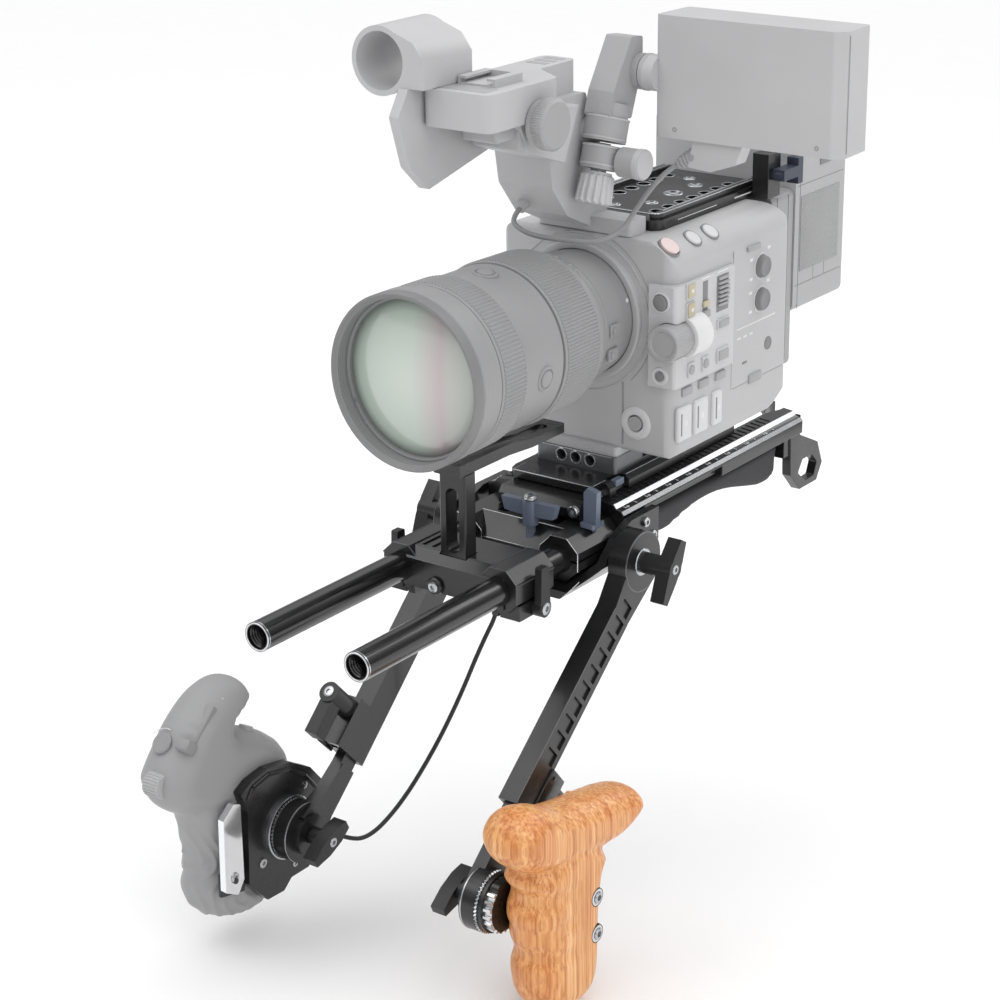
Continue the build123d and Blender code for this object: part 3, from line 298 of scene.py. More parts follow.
MAT = {
    "black": surface("black_anodised", tone(24, 24, 25), 0.3, 0.0, grain=2500, strength=0.18, coat=0.25),
    "rod": surface("black_rod", tone(20, 20, 21), 0.22, 0.0, grain=3000, strength=0.08, coat=0.4),
    "black_soft": surface("black_moulding", tone(30, 30, 31), 0.4, 0.0, grain=1800, strength=0.3),
    # The bright finish: bright metal on washers, rims and collars, and also painted highlights on the edges
    # and chamfers of the black parts.
    "bright": surface("metal_and_painted_highlight", tone(214, 215, 217), 0.22, 0.9, grain=2500, strength=0.1),
    "blue": surface("blue_anodised", tone(112, 122, 140), 0.36, 0.1, grain=2500, strength=0.15),
    "blue_dark": surface("dark_blue_anodised", tone(56, 62, 76), 0.36, 0.1, grain=2500, strength=0.15),
    # The plate finish is the camera plate's own grey, and is also used for painted highlight lines on the
    # arms and the lens support.
    "plate": surface("grey_plate_and_painted_highlight", tone(112, 113, 116), 0.34, 0.6, grain=900, strength=0.25,
                     stretch=(1, 1, 6)),
    "steel": surface("steel", tone(186, 188, 190), 0.25, 0.95, grain=2500, strength=0.12),
    "socket": surface("socket_shadow", tone(26, 26, 27), 0.6, 0.3),
    "chrome": surface("polished_metal", tone(238, 239, 241), 0.12, 0.85, vary=0.02, strength=0.05),
    "pad": surface("pad_rubber", tone(58, 58, 60), 0.72, grain=900, strength=0.6, depth=0.00012),
    "wood": wood(),
    "glass": coated_glass(),
    "print": surface("white_print", tone(226, 226, 226), 0.6, strength=0.1),
    "tan": surface("tan_key", tone(196, 186, 160), 0.5, strength=0.2),
    "red": surface("record_cap", tone(226, 205, 202), 0.42, strength=0.2),
    "screen": surface("screen", tone(70, 73, 78), 0.16, coat=0.8, strength=0.05),
    "battery_mesh": perforated(tone(160, 160, 161)),
    "jacket": surface("cable_jacket", tone(44, 44, 46), 0.42, grain=1200, strength=0.3),
}
for level in (132, 146, 156, 166, 176, 188, 200, 214):
    MAT[f"grey_{level}"] = surface(f"plastic_{level}", tone(level, level, level + 1), 0.5, vary=0.025,
                                   grain=2600, strength=0.35, depth=0.00003)


# ---- mesh building ------------------------------------------------------------------------------
def piece(mesh, name, finish, body, replaced=(), sharp=35):
    """Turns a bmesh in work-frame millimetres into a piece that rides on a body."""
    bmesh.ops.remove_doubles(mesh, verts=mesh.verts, dist=0.002)
    bmesh.ops.recalc_face_normals(mesh, faces=mesh.faces)
    for vert in mesh.verts:
        vert.co = at(*vert.co)
    data = bpy.data.meshes.new(name)
    mesh.to_mesh(data)
    mesh.free()
    data.polygons.foreach_set("use_smooth", [True] * len(data.polygons))
    data.set_sharp_from_angle(angle=math.radians(sharp))
    data.materials.append(MAT[finish])
    made = bpy.data.objects.new(name, data)
    bpy.context.scene.collection.objects.link(made)
    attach(made, body)
    if replaced:
        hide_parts(*replaced)
    return made


def axes_of(axis):
    """Three unit axes, the third along the given one; the first is level where it can be."""
    along = Vector(axis).normalized()
    side = Vector((0, 0, 1)).cross(along)
    side = Vector((1, 0, 0)) if side.length < 1e-6 else side.normalized()
    return side, along.cross(side), along


def turn(mesh, centre, axis, profile, steps=40, closed=False):
    """A turned shape from (along, radius[, shape]) stations; shape(angle) scales that station's radius."""
    side, up, along = axes_of(axis)
    rings = []
    for station in profile:
        shape = station[2] if len(station) > 2 else None
        ring = []
        for step in range(steps):
            angle = TAU * step / steps
            radius = station[1] * (shape(angle) if shape else 1.0)
            outward = side * math.cos(angle) + up * math.sin(angle)
            spot = Vector(centre) + along * station[0] + outward * radius
            ring.append(mesh.verts.new(spot))
        rings.append(ring)
    pairs = list(zip(rings, rings[1:])) + ([(rings[-1], rings[0])] if closed else [])
    for low, high in pairs:
        for step in range(steps):
            after = (step + 1) % steps
            mesh.faces.new((low[step], low[after], high[after], high[step]))
    if not closed:
        for ring, station in ((rings[0], profile[0]), (rings[-1], profile[-1])):
            if station[1] > 0.001:
                mesh.faces.new(ring)


def ring(mesh, centre, axis, profile, steps):
    """A turned shape whose profile closes on itself."""
    turn(mesh, centre, axis, profile, steps, closed=True)


def brick(mesh, x0, x1, y0, y1, z0, z1, bevel=0.3, turned=None, segments=2):
    """A box with rounded edges, turned about its own centre by a matrix."""
    middle = Vector((x0 + x1, y0 + y1, z0 + z1)) / 2
    size = Vector((abs(x1 - x0), abs(y1 - y0), abs(z1 - z0)))
    made = bmesh.ops.create_cube(mesh, size=1.0)["verts"]
    bmesh.ops.scale(mesh, vec=size, verts=made)
    edges = list({edge for vert in made for edge in vert.link_edges})
    made = bmesh.ops.bevel(mesh, geom=edges + made, offset=min(bevel, min(size) * 0.45), segments=segments,
                           affect="EDGES", profile=0.5)["verts"]
    if turned is not None:
        bmesh.ops.transform(mesh, matrix=turned.to_4x4(), verts=made)
    bmesh.ops.translate(mesh, vec=middle, verts=made)


def line(mesh, start, end, radius=0.35):
    """A thin rounded bead between two points, for a painted highlight along an edge or a printed line."""
    reach = Vector(end) - Vector(start)
    turn(mesh, start, reach, [(0, 0), (0.1, radius), (reach.length - 0.1, radius), (reach.length, 0)], 8)


def polyline(mesh, points, radius):
    """Beads from each point to the next."""
    for start, end in zip(points, points[1:]):
        line(mesh, start, end, radius)


def angles(start, step, count):
    """The ends of equal steps round an arc, from degrees to radians."""
    return [math.radians(start + step * index) for index in range(count + 1)]


def collar_edges(x, radius):
    """Neighbouring corners of a rod collar's octagon, as pairs of (X, Z)."""
    corners = [(x + radius * math.cos(a), radius * math.sin(a)) for a in angles(22, 45, 8)]
    return zip(corners, corners[1:])


def strip(mesh, x0, z0, x1, z1, y0, y1, lift=0.07):
    """A thin skin over a chamfer that runs along Y, which carries a painted highlight."""
    reach = Vector((x1 - x0, 0, z1 - z0)).normalized()
    out = Vector((-reach.z, 0, reach.x)) * lift
    out = out if out.z > 0 else -out
    ends = []
    for y in (y0, y1):
        a, b = Vector((x0, y, z0)), Vector((x1, y, z1))
        ends.append([mesh.verts.new(spot) for spot in (a + out, b + out, b - out * 3, a - out * 3)])
    mesh.faces.new(ends[0])
    mesh.faces.new(ends[1])
    for index in range(4):
        after = (index + 1) % 4
        mesh.faces.new((ends[0][index], ends[0][after], ends[1][after], ends[1][index]))


def flutes(count, depth, sharpness=1.0):
    """Ribs round a turned shape."""
    def shape(angle):
        wave = max(-1.0, min(1.0, math.sin(count * angle) * sharpness))
        return 1.0 + depth * wave
    return shape


def hexagon(angle):
    """Scales a radius from a circle to the hexagon inside it."""
    sector = TAU / 6
    return math.cos(sector / 2) / math.cos(angle % sector - sector / 2)


def screw(mesh, centre, axis, radius=3.0, height=1.6, socket=0.5):
    """Round screw head with a chamfer and a hexagon socket sunk into it."""
    turn(mesh, centre, axis, [(0, 0), (0, radius), (height * 0.75, radius), (height, radius * 0.85),
                              (height, radius * socket, hexagon), (height * 0.25, radius * socket, hexagon),
                              (height * 0.25, 0)], 36)


def smooth_loop(points, steps=6):
    """A closed smooth line through the points."""
    count, result = len(points), []
    for index in range(count):
        p0, p1, p2, p3 = (np.array(points[(index + k) % count], float) for k in (-1, 0, 1, 2))
        for step in range(steps):
            t = step / steps
            result.append(0.5 * (2 * p1 + (p2 - p0) * t + (2 * p0 - 5 * p1 + 4 * p2 - p3) * t ** 2
                                 + (3 * p1 - p0 - 3 * p2 + p3) * t ** 3))
    return np.array(result)


def inside_distance(loop, spots):
    """Distance from each (Y, Z) spot to the loop, positive inside, and the direction away from the edge."""
    starts, ends = loop, np.roll(loop, -1, axis=0)
    runs = ends - starts
    best = np.full(len(spots), 1e9)
    nearest = np.zeros_like(spots)
    crossings = np.zeros(len(spots), int)
    for start, end, run in zip(starts, ends, runs):
        share = np.clip(((spots - start) @ run) / max(run @ run, 1e-9), 0, 1)
        foot = start + share[:, None] * run
        gap = np.linalg.norm(spots - foot, axis=1)
        closer = gap < best
        best[closer], nearest[closer] = gap[closer], foot[closer]
        spans = (start[1] > spots[:, 1]) != (end[1] > spots[:, 1])
        if abs(run[1]) > 1e-9:
            reach = start[0] + (spots[:, 1] - start[1]) / run[1] * run[0]
            crossings += spans & (spots[:, 0] < reach)
    within = crossings % 2 == 1
    away = (spots - nearest) * np.where(within, 1.0, -1.0)[:, None]
    away /= np.maximum(np.linalg.norm(away, axis=1), 1e-6)[:, None]
    return np.where(within, best, -best), away


def carved(parts, voxel, relax, relief=None):
    """One hand-shaped solid from (outline, x0, x1, rounding) parts, with rims rolled over, then fused."""
    mesh = bmesh.new()
    for outline, x0, x1, rounding in parts:
        loop = smooth_loop(outline)
        slab = bmesh.new()
        sides = [[slab.verts.new((x, y, z)) for y, z in loop] for x in (x0, x1)]
        slab.faces.new(sides[0])
        slab.faces.new(list(reversed(sides[1])))
        for index in range(len(loop)):
            after = (index + 1) % len(loop)
            slab.faces.new((sides[0][index], sides[0][after], sides[1][after], sides[1][index]))
        bmesh.ops.recalc_face_normals(slab, faces=slab.faces)
        data = remeshed(slab, voxel)
        spots = np.array([vert.co for vert in data.vertices])
        middle, half = (x0 + x1) / 2, abs(x1 - x0) / 2
        depth, away = inside_distance(loop, spots[:, 1:])
        across = np.clip((spots[:, 0] - middle) / half, -1, 1)
        edge = 1 - np.clip(depth / rounding, 0, 1)
        spots[:, 0] = middle + half * across * np.sqrt(1 - edge ** 2 / 2)
        rolled = rounding * (1 - edge * np.sqrt(1 - across ** 2 / 2))
        move = np.where(depth < rounding, rolled - np.clip(depth, 0, None), 0.0)
        spots[:, 1:] += away * move[:, None]
        for vert, spot in zip(data.vertices, spots):
            vert.co = spot
        mesh.from_mesh(data)
        bpy.data.meshes.remove(data)
    if len(parts) > 1:
        data = remeshed(mesh, voxel)
        mesh = bmesh.new()
        mesh.from_mesh(data)
        bpy.data.meshes.remove(data)
    for _ in range(relax):
        bmesh.ops.smooth_vert(mesh, verts=mesh.verts, factor=0.5,
                              use_axis_x=True, use_axis_y=True, use_axis_z=True)
    if relief:
        mesh.normal_update()
        moves = [vert.normal * relief(vert.co, vert.normal) for vert in mesh.verts]
        for vert, move in zip(mesh.verts, moves):
            vert.co += move
    return mesh


def remeshed(mesh, voxel):
    """The bmesh rebuilt with even faces, as mesh data; the bmesh is used up."""
    data = bpy.data.meshes.new("rough")
    mesh.to_mesh(data)
    mesh.free()
    holder = bpy.data.objects.new("rough", data)
    bpy.context.scene.collection.objects.link(holder)
    modifier = holder.modifiers.new("even", "REMESH")
    modifier.mode, modifier.voxel_size = "VOXEL", voxel
    result = bpy.data.meshes.new_from_object(holder.evaluated_get(bpy.context.evaluated_depsgraph_get()))
    bpy.data.objects.remove(holder)
    bpy.data.meshes.remove(data)
    return result


# ---- free cables --------------------------------------------------------------------------------
GRIP_CABLE = [(-69.2, 80.6, -150), (-69.2, 88.5, -150), (-63.5, 96, -158.5), (-55, 106, -161),
              (-46, 123, -145), (-38, 142, -119), (-29, 154, -90), (-21, 162, -62), (-12, 169, -38),
              (-12, 169, -19.6)]
MONITOR_CABLE = [(52, 245, 192), (43, 243, 187), (34.5, 238.5, 177), (31, 228, 166), (32, 215, 158.5),
                 (26, 203, 154), (10, 196, 154.5), (-5, 190, 156), (-15, 189, 159.5), (-19, 192.1, 162.5),
                 (-19, 198.0, 166.2)]


def add_cable(name, points, diameter, body, finish, node):
    """A cable along a smooth line through the same points as its CAD solid."""
    curve = bpy.data.curves.new(name, "CURVE")
    curve.dimensions = "3D"
    curve.resolution_u = 24
    curve.bevel_depth = diameter / 2 * MM
    curve.bevel_resolution = 6
    curve.use_fill_caps = True
    spline = curve.splines.new("NURBS")
    spline.points.add(len(points) - 1)
    for point, place in zip(spline.points, points):
        point.co = (*at(*place), 1.0)
    spline.order_u = 3
    spline.use_endpoint_u = True
    curve.materials.append(MAT[finish])
    made = bpy.data.objects.new(name, curve)
    bpy.context.scene.collection.objects.link(made)
    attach(made, body)
    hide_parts(node)


# ---- finishes of the kept CAD nodes -------------------------------------------------------------
KEPT = {
    "black": ["base_plate", "rod_block", "riser_block", "arm_bracket", "rear_bracket", "quick_release_deck",
              "top_plate", "cable_bracket", "support_clamp", "support_upright", "support_arm",
              "smart_grip_adaptor", "wood_grip_adaptor", "arm_left", "arm_right", "arm_left_inner",
              "arm_right_inner"],
    "black_soft": ["support_lever_left", "support_lever_right", "arm_left_lever", "arm_right_lever",
                   "arm_left_knob", "arm_right_knob", "grip_left_knob", "grip_right_knob"],
    "rod": ["rod_left", "rod_right"],
    "blue": ["rod_clamp_knob", "quick_release_lever", "release_button"],
    "blue_dark": ["cable_bracket_knob"],
    "plate": ["camera_plate"],
    "chrome": ["strap_lever"],
    "red": ["record_button"],
    "grey_188": ["camera_body", "handle", "mic_holder", "monitor"],
    "grey_200": ["side_panel"],
    "grey_166": ["battery_plate", "front_button", "monitor_arm", "monitor_link"],
    "grey_176": ["battery", "smart_grip_stick"],
}
SOFT_EDGES = {"monitor": 2.2, "handle": 1.6, "mic_holder": 0.9, "battery": 1.6, "battery_plate": 0.8,
              "monitor_link": 1.2, "rod_left": 0.0, "rod_right": 0.0, "camera_body": 0.5, "side_panel": 0.8,
              "strap_lever": 0.5}


def finish_cad():
    """Gives the kept CAD nodes their finishes and small rounded edges."""
    for finish, names in KEPT.items():
        for name in names:
            node = NODES[name]
            node.data.materials.clear()
            node.data.materials.append(MAT[finish])
            width = SOFT_EDGES.get(name, 0.45)
            if width:
                weld = node.modifiers.new("weld", "WELD")
                weld.merge_threshold = 0.00002
                bevel = node.modifiers.new("edges", "BEVEL")
                bevel.width, bevel.segments = width * MM, 3 if width > 1 else 2
                bevel.limit_method, bevel.angle_limit = "ANGLE", math.radians(38)
                bevel.use_clamp_overlap = True
                bevel.harden_normals = False
                smooth = node.modifiers.new("normals", "WEIGHTED_NORMAL")
                smooth.keep_sharp = False


# ---- the base -----------------------------------------------------------------------------------
def base_details():
    """Painted highlights on the chamfers and edges, engraved scale and screw heads on the shoulder base."""
    # Painted highlights: bright skins over the base plate's chamfers and lines along its front and rear
    # edges.
    edges = bmesh.new()
    low, high = work_box("base_plate")
    for side in (1, -1):
        for x0, z0, x1, z1, short in ((25.1, 21.4, 27.3, 19.2, 19), (36.6, 17.95, 38.4, 15.9, 0.6),
                                      (41.55, 14.95, 42.9, 13.1, 0.6)):
            strip(edges, side * x0, z0, side * x1, z1, low.y + 0.6, high.y - short)
        strip(edges, side * 19.1, 25.9, side * 21.9, 20.7, 374.3, 384.7)
    line(edges, (-25, low.y + 0.1, 21.4), (25, low.y + 0.1, 21.4), 0.3)
    line(edges, (-18.5, 374.2, 25.8), (18.5, 374.2, 25.8), 0.3)
    piece(edges, "base_bright_edges", "bright", "base")

    notches, marks = bmesh.new(), bmesh.new()
    slope = Matrix.Rotation(math.radians(6.5), 3, "Y")
    pitch, margin = 5, 6
    for index in range(int((high.y - 20 - low.y - margin) / pitch) + 1):
        y = low.y + margin + index * pitch
        for side in (1, -1):
            tilt = slope if side > 0 else slope.inverted()
            brick(notches, side * 29, side * 35.4, y - 0.8, y + 0.8, 18.25, 18.85, 0.2, tilt)
            if index % 2 == 0:
                brick(marks, side * 38.9, side * 40.9, y - 0.25, y + 0.25, 15.35, 15.75, 0.05)
            if index % 4 == 0:
                brick(marks, side * 39.6, side * 40.9, y + 1.6, y + 3.2, 15.3, 15.7, 0.05)
    piece(notches, "base_scale_notches", "black_soft", "base")
    piece(marks, "base_scale_marks", "print", "base")

    heads = bmesh.new()
    screw(heads, (24, 184, 17), (0, -1, 0), 3.2, 2.4)
    for side in (1, -1):
        for y, z in ((211, 8.2), (218, -1)):
            screw(heads, (side * 49.5, y, z), (side, 0, 0), 2.6, 1.7)
        screw(heads, (side * ROD_OFFSET, 386, 10), (0, 1, 0), 3.0, 2.0)
    piece(heads, "base_screw_heads", "steel", "base", ["base_screws"])

    # Painted highlight lines on the upper edges of the rod collars, where light from above falls, and along
    # the edges of the blocks.
    trims = bmesh.new()
    for side in (1, -1):
        for (xa, za), (xb, zb) in collar_edges(side * ROD_OFFSET, COLLAR_RADIUS + 0.1):
            if max(za, zb) > COLLAR_EDGE:
                line(trims, (xa, 161.0, za), (xb, 161.0, zb), 0.28)
        line(trims, (side * 40.5, 151.2, -14.6), (side * 49.2, 151.2, -5.2), 0.3)
    line(trims, (-33, 162.3, 1.2), (33, 162.3, 1.2), 0.25)
    line(trims, (-25.5, 172.2, 11.6), (25.5, 172.2, 11.6), 0.28)
    line(trims, (-24.4, 198.1, 25.9), (24.4, 198.1, 25.9), 0.32)
    for side in (1, -1):
        line(trims, (side * 24.9, 199.5, 25.9), (side * 24.9, 211, 25.9), 0.28)
        line(trims, (side * 28.4, 225, 26.0), (side * 28.4, 329.5, 26.0), 0.3)
    piece(trims, "block_bright_edges", "bright", "base")


def pad():
    """Shoulder pad: moulded foam with rolled rims and shallow channels along its underside."""
    low, high = work_box("shoulder_pad")
    arch = [(226.6, 5.0), (229, -3), (241, -11.6), (249, -14), (262, -12.1), (275, -9.4), (290, -8.5),
            (305, -9), (321, -12), (336, -15.7), (348, -18.4), (360, -18.4), (367.6, -14.6), (369.4, -4),
            (369.4, 5.0), (345, 5.0), (310, 5.0), (275, 5.0), (245, 5.0)]
    mesh = carved([(arch, low.x + 0.3, high.x - 0.3, 3.2)], 1.8, 2,
                  lambda spot, normal: 0.28 * math.sin(spot.x * 0.7) * max(0.0, -normal.z))
    made = piece(mesh, "shoulder_cushion", "pad", "base", ["shoulder_pad"], 60)


def rods():
    """A bright rim and a thread in each rod's mouth."""
    for name, x in (("rod_left", ROD_OFFSET), ("rod_right", -ROD_OFFSET)):
        rim = bmesh.new()
        ring(rim, (x, 0, 0), (0, 1, 0), [(0.6, 6.05), (-0.12, 6.5), (-0.2, 7.0), (0.15, 7.46), (1.0, 7.53),
                                         (1.3, 7.45), (1.3, 6.05)], 64)
        piece(rim, f"{name}_rim", "bright", name)
        grooves = bmesh.new()
        for index in range(7):
            ring(grooves, (x, index * 1.75, 0), (0, 1, 0), [(1.8, 6.02), (2.4, 5.55), (3.0, 6.02)], 48)
        piece(grooves, f"{name}_thread", "rod", name)


def top_plate_details():
    """Hole rims, screws, painted highlights along the rails and the printed line of the top plate, and the
    camera plate's trim with painted highlights along its edges.
    """
    rims, edges, marks = bmesh.new(), bmesh.new(), bmesh.new()
    for y in range(262, 345, 12):
        for x in (-17, 22):
            ring(rims, (x, y, TOP_FACE), (0, 0, 1),
                 [(0, 3.3), (0.25, 3.5), (0.3, 4.1), (0.0, 4.5), (-0.2, 4.0)], 36)
    for x, y, radius in ((8, 300, 5.2), (8, 322, 4.0), (-3, 334, 3.4), (10, 276, 3.4), (-4, 262, 3.2)):
        ring(rims, (x, y, TOP_FACE), (0, 0, 1),
             [(0, radius - 0.9), (0.5, radius - 0.6), (0.5, radius), (0, radius + 0.4)], 40)
        screw(rims, (x, y, TOP_FACE - 0.1), (0, 0, 1), radius * 0.62, 0.9)
    # Painted highlight lines along the top plate's rail edges.
    corner = 6.0
    for offset, z, radius in ((0.3, RAIL_TOP, 0.4), (3.6, RAIL_TOP + 0.05, 0.3)):
        x0, x1, y0, y1 = -28 + offset, 33 - offset, 246 + offset, 347.5
        line(edges, (x1, y0 + corner, z), (x1, y1, z), radius)
        line(edges, (x0, y0 + corner, z), (x0, y1, z), radius)
        if offset < 1:
            line(edges, (x1 - corner, y0, z), (x0 + corner, y0, z), radius)
            for cx, start in ((x1 - corner, -90), (x0 + corner, 180)):
                polyline(edges, [(cx + corner * math.cos(a), y0 + corner + corner * math.sin(a), z)
                                 for a in angles(start, 15, 6)], radius)
    brick(marks, 35.0, 35.1, 262, 300, 154.6, 155.0, 0.03)
    brick(marks, 35.0, 35.1, 318, 346, 154.4, 155.2, 0.03)
    piece(rims, "top_plate_hole_rims", "steel", "camera")
    piece(edges, "top_plate_bright_edges", "bright", "camera")
    piece(marks, "top_plate_side_line", "print", "camera")
    # Bright rims round the camera plate's front holes, and painted highlight lines along its edges.
    rings = bmesh.new()
    for x in (-9, 0, 9):
        ring(rings, (x, PLATE_FRONT, 31), (0, -1, 0), [(-0.3, 2.8), (0.08, 3.0), (0.1, 3.5), (-0.1, 3.8)], 36)
    for side in (1, -1):
        line(rings, (side * 24.2, 222, PLATE_TOP), (side * 24.2, 321, PLATE_TOP), 0.25)
    line(rings, (-23, 220.2, 34.9), (23, 220.2, 34.9), 0.25)
    piece(rings, "camera_plate_rims_and_painted_highlights", "bright", "camera")


# ---- the camera ---------------------------------------------------------------------------------
def round_the_lens(y, radius, angle):
    """A point at a distance from the lens axis, and the direction outwards there; the angle is in radians."""
    outward = Vector((math.cos(angle), 0, math.sin(angle)))
    return Vector((0, y, LENS_Z)) + outward * radius, outward


def lens():
    """Turned barrel with its front rim, coated front element, ribbed rings, buttons and index marks."""
    shell = bmesh.new()
    turn(shell, LENS_MOUTH, (0, 1, 0),
         [(20.5, 36.2), (12.0, 38.6), (11.0, 41.0), (6.4, 41.9), (6.4, 43.4), (6.9, 43.5), (7.2, 43.8),
          (15.0, 43.7), (16.2, 42.9), (16.6, 42.6), (21.6, 42.6), (21.9, 41.9), (22.0, 38.2), (43.2, 38.2),
          (43.3, 41.2), (43.8, 41.7), (73.8, 41.3), (74.6, 40.8), (74.8, 38.2), (107.2, 38.2),
          (107.4, 40.2), (108.2, 40.4), (111.0, 40.0), (116.2, 37.2), (116.4, 35.3), (121.0, 35.2),
          (121.2, 34.8), (122.0, 34.8), (122.2, 35.1), (136.8, 34.4), (137.4, 33.6), (138.4, 33.0),
          (149.2, 33.0)], 128)
    piece(shell, "lens_barrel_shell", "grey_156", "camera", ["lens_barrel"], 28)
    rim = bmesh.new()
    threads = [(6.2 - step * 0.7, 40.5 + 0.35 * (step % 2)) for step in range(7)]
    ring(rim, LENS_MOUTH, (0, 1, 0),
         [(11.0, 40.6), (7.0, 40.4)] + threads + [(1.4, 41.4), (0.5, 42.1), (0, 42.8), (0.2, 43.4),
                                                  (1.0, 43.8), (6.0, 43.8), (6.3, 43.4), (11.0, 41.5)], 128)
    piece(rim, "lens_front_rim", "grey_132", "camera", (), 28)
    glass = bmesh.new()
    curve = 150.0
    dome = [(5.6 + curve - math.sqrt(curve ** 2 - radius ** 2), radius)
            for radius in (0, 6, 12, 18, 24, 30, 35, 39.2)]
    turn(glass, LENS_MOUTH, (0, 1, 0), dome + [(15.0, 36.4)], 96)
    piece(glass, "front_element", "glass", "camera", ["lens_glass"], 40)
    retaining = bmesh.new()
    ring(retaining, LENS_MOUTH, (0, 1, 0),
         [(12.4, 40.7), (8.4, 40.7), (8.2, 40.0), (9.0, 38.9), (12.8, 38.7)], 96)
    for angle in (25, 205):
        spot, _ = round_the_lens(84.25, 39.7, math.radians(angle))
        brick(retaining, spot.x - 0.8, spot.x + 0.8, 84.0, 84.5, spot.z - 0.8, spot.z + 0.8, 0.15)
    piece(retaining, "lens_retaining_ring", "grey_132", "camera")
    for name, start, end, r0, r1, count in (("focus_ring", 98.0, 119.0, 43.1, 42.8, 132),
                                            ("zoom_ring", 151.0, 183.0, 42.2, 41.6, 148)):
        grip, ribs = bmesh.new(), flutes(count, 0.0075, 2.2)
        width = end - start
        ring(grip, (0, start, LENS_Z), (0, 1, 0),
             [(0.1, 38.4), (0.1, r0 - 0.5), (0.6, r0 - 0.1), (1.6, r0 - 0.1), (2.0, r0 - 0.45),
              (2.2, r0, ribs), (width - 2.2, r1, ribs), (width - 2.0, r1 - 0.45), (width - 1.6, r1 - 0.1),
              (width - 0.6, r1 - 0.1), (width - 0.1, r1 - 0.5), (width - 0.1, 38.4)], count * 6)
        piece(grip, f"{name}_grip", "grey_156", name, [name], 50)
    buttons, marks = bmesh.new(), bmesh.new()
    for angle in (-8.0, 82.0, 172.0):
        spot, outward = round_the_lens(135, 40.9, math.radians(angle))
        turn(buttons, spot, outward, [(0, 6.4), (0.9, 6.4), (1.2, 6.0), (1.2, 5.2), (0.7, 5.0), (0.7, 4.4),
                                      (1.6, 4.0), (1.9, 3.0), (1.7, 0)], 40)
    face, outward = round_the_lens(203, 35.2, math.radians(-5))
    for lift in (-9, 4):
        spot = face + Vector((-outward.z, 0, outward.x)) * lift
        brick(buttons, spot.x - 0.9, spot.x + 0.9, spot.y - 4.2, spot.y + 4.2, spot.z - 3.2, spot.z + 3.2,
              0.6)
        brick(buttons, spot.x, spot.x + 1.8, spot.y - 3, spot.y - 0.6, spot.z - 1.8, spot.z + 1.8, 0.4)
    piece(buttons, "lens_buttons", "grey_156", "camera")
    for index in range(9):
        start, outward = round_the_lens(190.4, 38.5, math.radians(58 + index * 6.5))
        length, drop = (2.6, 1.1) if index % 2 else (1.4, 0.6)
        line(marks, start, start + Vector((0, length, 0)) - outward * drop, 0.16)
    dot, outward = round_the_lens(221, 33, 0.35)
    turn(marks, dot, outward, [(0, 1.1), (0.25, 1.0), (0.3, 0)], 24)
    piece(marks, "lens_index_marks", "print", "camera")
    mount = bmesh.new()
    ring(mount, (0, BODY_FRONT, LENS_Z), (0, -1, 0),
         [(-0.5, 33.3), (2.2, 33.4), (2.6, 34.0), (2.6, 36.6), (2.0, 37.4), (-0.2, 37.8)], 96)
    ring(mount, (0, BODY_FRONT, LENS_Z), (0, -1, 0),
         [(-0.2, 41.2), (0.45, 41.4), (0.5, 41.9), (-0.2, 42.1)], 96)
    piece(mount, "lens_mount_ring", "grey_188", "camera")


